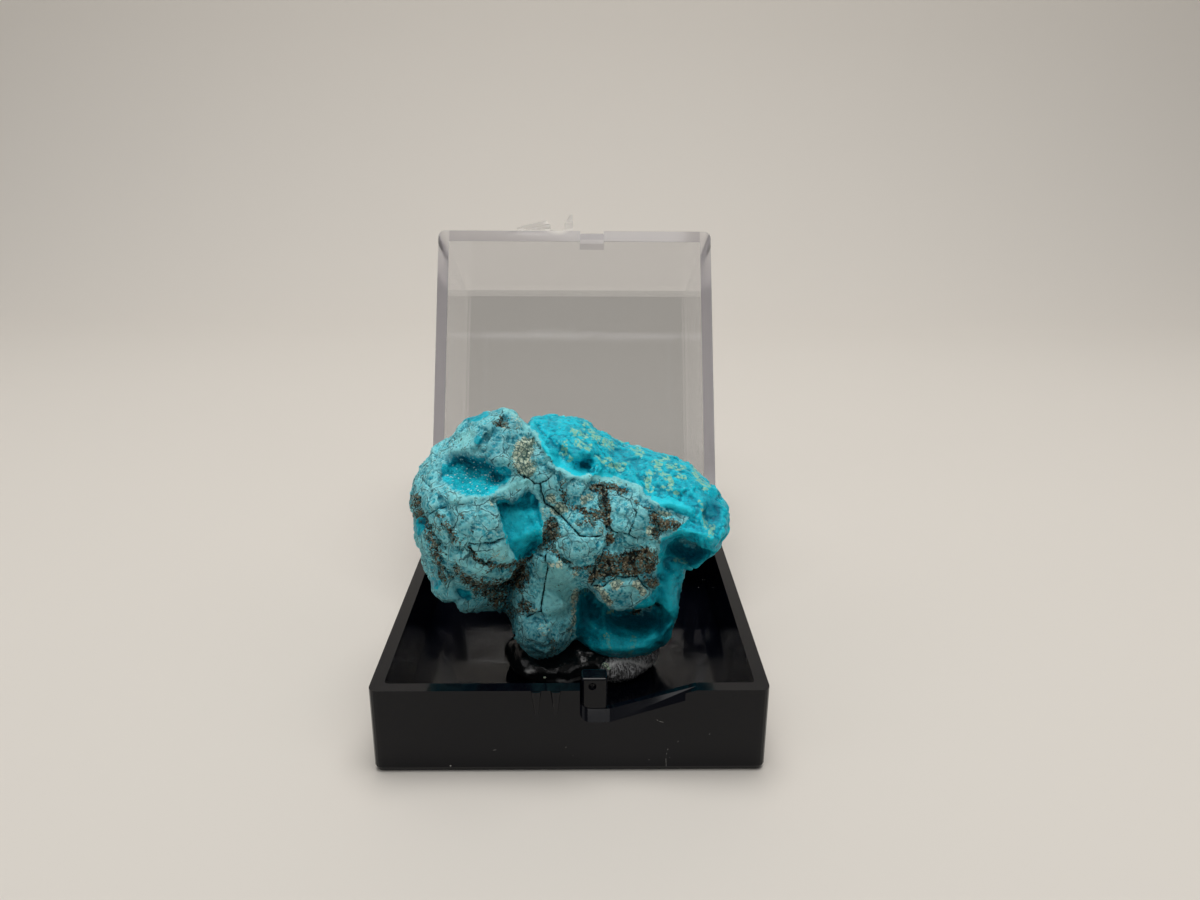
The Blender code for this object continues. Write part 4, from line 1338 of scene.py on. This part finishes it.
def clear_plastic():
    m = Nodes("clear_polystyrene")
    smear, _ = m.noise(7.0, 3.0, 0.55)
    rough = m.ramp(smear, 0.4, 0.75, 0.02, 0.08)
    # how far a point lies out from the hinge towards the broad top plate
    out = m.t.nodes.new("ShaderNodeVectorMath")
    out.operation = "DOT_PRODUCT"
    m.put(out.inputs[0], m.place)
    out.inputs[1].default_value = (0.0, math.cos(math.radians(27)), -math.sin(math.radians(27)))
    height = out.outputs["Value"]
    plate = m.ramp(height, LID_PLATE - 0.5 * MM, LID_PLATE - 0.3 * MM)
    rim = m.ramp(height, LID_RIM + 0.25 * MM, LID_RIM + 0.12 * MM)
    # painted shade: the lid is one clear plastic, but the broad plate and the front wall's rim get a
    # darker colour than the rest, standing in for the darker look of the plate seen through more layers of
    # plastic and of the rim seen edge-on
    tone = m.mix(plate, (0.92, 0.92, 0.92), (0.54, 0.548, 0.555))
    apart = m.t.nodes.new("ShaderNodeSeparateXYZ")
    m.put(apart.inputs[0], m.place)
    side = m.ramp(m.math("ABSOLUTE", apart.outputs[0]), 14.2 * MM, 14.35 * MM)
    tone = m.mix(rim, tone, m.mix(side, (0.56, 0.55, 0.60), (0.93, 0.93, 0.95)))
    # the front wall's notch has the rim's painted shade, and the tab beyond it is clear
    forth = m.t.nodes.new("ShaderNodeVectorMath")
    forth.operation = "DOT_PRODUCT"
    m.put(forth.inputs[0], m.place)
    forth.inputs[1].default_value = (0.0, math.sin(math.radians(27)), math.cos(math.radians(27)))
    along = forth.outputs["Value"]
    notch = m.mul(m.ramp(apart.outputs[0], 0.5 * MM, 0.6 * MM),
                  m.ramp(apart.outputs[0], 3.4 * MM, 3.3 * MM),
                  m.ramp(along, 45.9 * MM, 46.0 * MM), m.ramp(height, 9.2 * MM, 9.1 * MM))
    tone = m.mix(notch, tone, (0.56, 0.55, 0.60))
    tone = m.mix(m.ramp(along, 47.47 * MM, 47.55 * MM), tone, (0.95, 0.95, 0.95))
    # the thumb scoop in the tab has a frosted face
    near = m.t.nodes.new("ShaderNodeVectorMath")
    near.operation = "DISTANCE"
    m.put(near.inputs[0], m.place)
    near.inputs[1].default_value = SCOOP
    frost = m.ramp(near.outputs["Value"], 2.1 * MM, 1.5 * MM)
    tone = m.mix(frost, tone, (0.96, 0.96, 0.95))
    rough = m.add(rough, m.mul(frost, 0.4))
    rough = m.add(rough, m.mul(rim, 0.35))
    m.set(Base_Color=tone, Roughness=rough, IOR=1.05,
          Transmission_Weight=1.0, Coat_Weight=1.0, Coat_Roughness=0.06, Coat_IOR=1.5,
          Normal=m.bump(smear, 0.01, 0.3))
    tint = m.t.nodes.new("ShaderNodeVolumeAbsorption")
    tint.inputs["Color"].default_value = (0.70, 0.69, 0.745, 1.0)
    tint.inputs["Density"].default_value = 70.0
    out = m.t.nodes["Material Output"]
    m.t.links.new(tint.outputs[0], out.inputs["Volume"])
    return m.mat


def putty_material():
    m = Nodes("clear_putty")
    silver = m.att("m_silver")
    fine, _ = m.noise(0.18, 3.0, 0.6)
    mid, _ = m.noise(0.9, 3.0, 0.55)
    strands, _ = m.noise(0.16, 3.0, 0.6, where=m.stretch((1.0, 1.0, 0.10), m.warp(1.6, 0.25)))
    gel = m.mix(mid, (0.002, 0.0025, 0.003), (0.010, 0.012, 0.013))
    bright = m.mix(m.ramp(strands, 0.42, 0.64), (0.110, 0.110, 0.114), (0.720, 0.720, 0.730))
    colour = m.mix(silver, gel, bright)
    # painted highlights: a bright line along the silvery flange's rim and spots on the dark gel
    line = m.att("m_painted_highlight")
    colour = m.mix(line, colour, (0.860, 0.860, 0.850))
    rough = m.ramp(silver, 0, 1, 0.10, 0.30)
    h = m.add(m.mul(mid, 0.5), m.mul(fine, 0.2), m.mul(strands, silver, 1.2))
    m.set(Base_Color=colour, Roughness=rough, IOR=1.45, Normal=m.bump(h, 0.12, 0.8))
    return m.mat


def plain_material(name, colour, rough=0.85):
    m = Nodes(name)
    soft, _ = m.noise(60.0, 2.0)
    m.set(Base_Color=m.mix(soft, tuple(0.985 * c for c in colour), colour),
          Roughness=rough, IOR=1.3)
    return m.mat


# ------------------------------------------------------------------ putty
LUMPS = (
    ((-1.8, -2.2, 2.6), (4.6, 4.9, 2.2), 0),
    ((3.6, -2.0, 2.9), (4.7, 4.6, 2.4), 0),
    ((0.8, 2.0, 2.8), (6.0, 4.6, 2.3), 0),
    ((1.0, 0.0, 3.2), (5.0, 5.0, 2.6), 0),
)


def make_putty(material):
    def form(p):
        d = None
        for item in LUMPS:
            e = oval(p, item)
            d = e if d is None else smin(d, e, 1.0)
        d = d + 0.22 * fbm(p, 2.0, 3, 91)
        return np.maximum(d, 1.22 - p[:, 2])

    low, high, h = np.array([-8.0, -8.4, 0.9]), np.array([9.6, 8.0, 6.4]), 0.2
    n = np.ceil((high - low) / h).astype(int) + 1
    g = np.stack(np.meshgrid(*[low[k] + h * np.arange(n[k]) for k in range(3)],
                             indexing="ij"), -1)
    field = form(g.reshape(-1, 3)).reshape(tuple(n)).astype(np.float32)
    v, t = surface_net(field, low, h)
    v, t = largest_part(v, t)
    normal = normals_of(v, t)
    px, py, _ = to_front(v)
    silver = 1 - smoothstep(-3.0, 3.0, read(area_distance(
        [(601, 668), (612, 656), (640, 650), (664, 650), (652, 668), (634, 682),
         (616, 690), (606, 684)]), px, py))
    silver = silver * smoothstep(2.0, -2.0, v[:, 1])
    fan = np.arctan2(px - 628, 720 - py)
    ridge = np.abs((fan * 42 + 0.6 * noise(v, 0.8, 5)) % 1.0 - 0.5) * 2
    v = v + normal * (silver * (0.22 * ridge - 0.05) + 0.05 * fbm(v, 0.5, 2, 95))[:, None]
    v[:, 2] = np.maximum(v[:, 2], 1.22)
    wx, wy = px + 0.8 * noise(v, 0.4, 96), py + 0.8 * noise(v, 0.4, 97)
    # painted highlights: a line along the silvery flange's rim and spots on the dark gel
    painted_highlights = over(stroke([(607, 668), (614, 663), (623, 661), (633, 662), (645, 666),
                         (652, 664)], 1.5, 1.0),
                 0.8 * dab(530, 671, 4.2, 1.8), 0.7 * dab(534, 685, 2.2, 2.4),
                 0.7 * stroke([(559, 681), (568, 682), (579, 679)], 1.2, 0.8))
    obj = mesh_object("mounting_putty_gel", v, t,
                      {"m_silver": silver, "m_painted_highlight": read(painted_highlights, wx, wy)}, material)
    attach(obj, "base")
    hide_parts("mounting_putty")
    print("putty", len(t), "triangles")
    return v


def make_crumbs(ground, material):
    """Loose crumbs of the stone that lie on the putty, at the places where they
    are seen from the front: place on the drawing, radius in mm, whitish part."""
    px, py, z = to_front(ground)
    spots = (((603.5, 666.5), 0.30, 1.0), ((606.5, 669.5), 0.20, 1.0),
             ((543, 679), 0.13, 0.8), ((590, 676), 0.14, 0.7))
    verts, faces, who, count = [], [], [], 0
    for n, ((x, y), radius, cream) in enumerate(spots):
        near = np.hypot(px - x, py - y) < 3.0
        if not near.any():
            continue
        at = ground[near][z[near].argmin()] - AHEAD * radius * 0.55
        g = np.linspace(-1.7, 1.7, 18) * radius
        grid = np.stack(np.meshgrid(g, g, g, indexing="ij"), -1).reshape(-1, 3)
        d = (np.linalg.norm(grid * (1.0, 1.15, 1.3), axis=1) - radius
             + 0.35 * radius * fbm(grid + 9.0 * n, radius * 1.1, 3, 201))
        v, t = surface_net(d.reshape(18, 18, 18).astype(np.float32),
                           np.full(3, g[0]), g[1] - g[0])
        v, t = largest_part(v, t)
        verts.append(v + at)
        faces.append(t + count)
        who.append(np.full(len(v), cream))
        count += len(v)
    if not verts:
        return
    v, t, who = np.concatenate(verts), np.concatenate(faces), np.concatenate(who)
    flat = np.zeros(len(v))
    attributes = {"m_" + k: flat for k in ("brown", "wax", "deep_teal_and_shade", "pale_and_painted_light", "crack",
                                           "fleck", "gap", "druse", "who")}
    attributes["m_cream"], attributes["m_edge"] = who, flat + 0.7
    obj = mesh_object("loose_crumbs", v, t, attributes, material)
    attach(obj, "base")
    return obj


# ------------------------------------------------------------------ stage
def make_stage():
    bm = bmesh.new()
    # floor that rises behind the object in one smooth curve
    profile = [(-0.60, 0.0), (0.17, 0.0)]
    radius = 0.10
    for k in range(1, 13):
        a = math.radians(90 * k / 12)
        profile.append((0.17 + radius * math.sin(a), radius - radius * math.cos(a)))
    profile.append((0.27, 0.9))
    rows = []
    for x in (-0.9, 0.9):
        rows.append([bm.verts.new((x, y, z)) for y, z in profile])
    for a, b, c, d in zip(rows[0][:-1], rows[0][1:], rows[1][1:], rows[1][:-1]):
        bm.faces.new((d, c, b, a))
    bmesh.ops.recalc_face_normals(bm, faces=bm.faces[:])
    mesh = bpy.data.meshes.new("studio_floor")
    bm.to_mesh(mesh)
    bm.free()
    mesh.shade_smooth()
    floor = bpy.data.objects.new("studio_floor", mesh)
    bpy.context.scene.collection.objects.link(floor)
    mesh.materials.append(plain_material("studio_paper", (0.720, 0.685, 0.640)))

    world = bpy.data.worlds.new("studio")
    bpy.context.scene.world = world
    world.use_nodes = True
    sky = world.node_tree.nodes["Background"]
    sky.inputs["Color"].default_value = (1.0, 0.985, 0.965, 1.0)
    sky.inputs["Strength"].default_value = 0.13

    def lamp(name, at, towards, size, power, colour=(1, 1, 1)):
        data = bpy.data.lights.new(name, "AREA")
        data.shape = "RECTANGLE"
        data.size, data.size_y = size
        data.energy = power
        data.color = colour
        obj = bpy.data.objects.new(name, data)
        bpy.context.scene.collection.objects.link(obj)
        obj.location = at
        d = Vector(towards) - Vector(at)
        obj.rotation_mode = "QUATERNION"
        obj.rotation_quaternion = d.to_track_quat("-Z", "Y")
        return obj

    lamp("overhead", (0.02, 0.02, 0.42), (0, 0, 0), (0.34, 0.26), 1.30, (1.0, 0.985, 0.955))
    lamp("front_high", (-0.06, -0.30, 0.52), (0, 0, 0.015), (0.30, 0.14), 0.42,
         (1.0, 0.99, 0.975))
    lamp("edge", (0.0, -0.42, 0.285), (0, 0, 0.007), (0.24, 0.03), 0.055)
    lamp("left", (-0.34, -0.16, 0.20), (0, 0, 0.015), (0.16, 0.20), 0.07,
         (0.98, 0.99, 1.0))
    lamp("right", (0.34, -0.18, 0.20), (0, 0, 0.015), (0.16, 0.20), 0.05,
         (0.98, 0.99, 1.0))


# ------------------------------------------------------------------ build
make_camera()
make_stage()
bpy.context.scene.view_settings.view_transform = "Standard"

black, clear = black_plastic(), clear_plastic()
for name, mat in (("tray", black), ("lid", clear)):
    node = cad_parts[name]
    node.data.materials.clear()
    node.data.materials.append(mat)

stone = stone_material()
make_stone(stone)
make_crumbs(make_putty(putty_material()), stone)
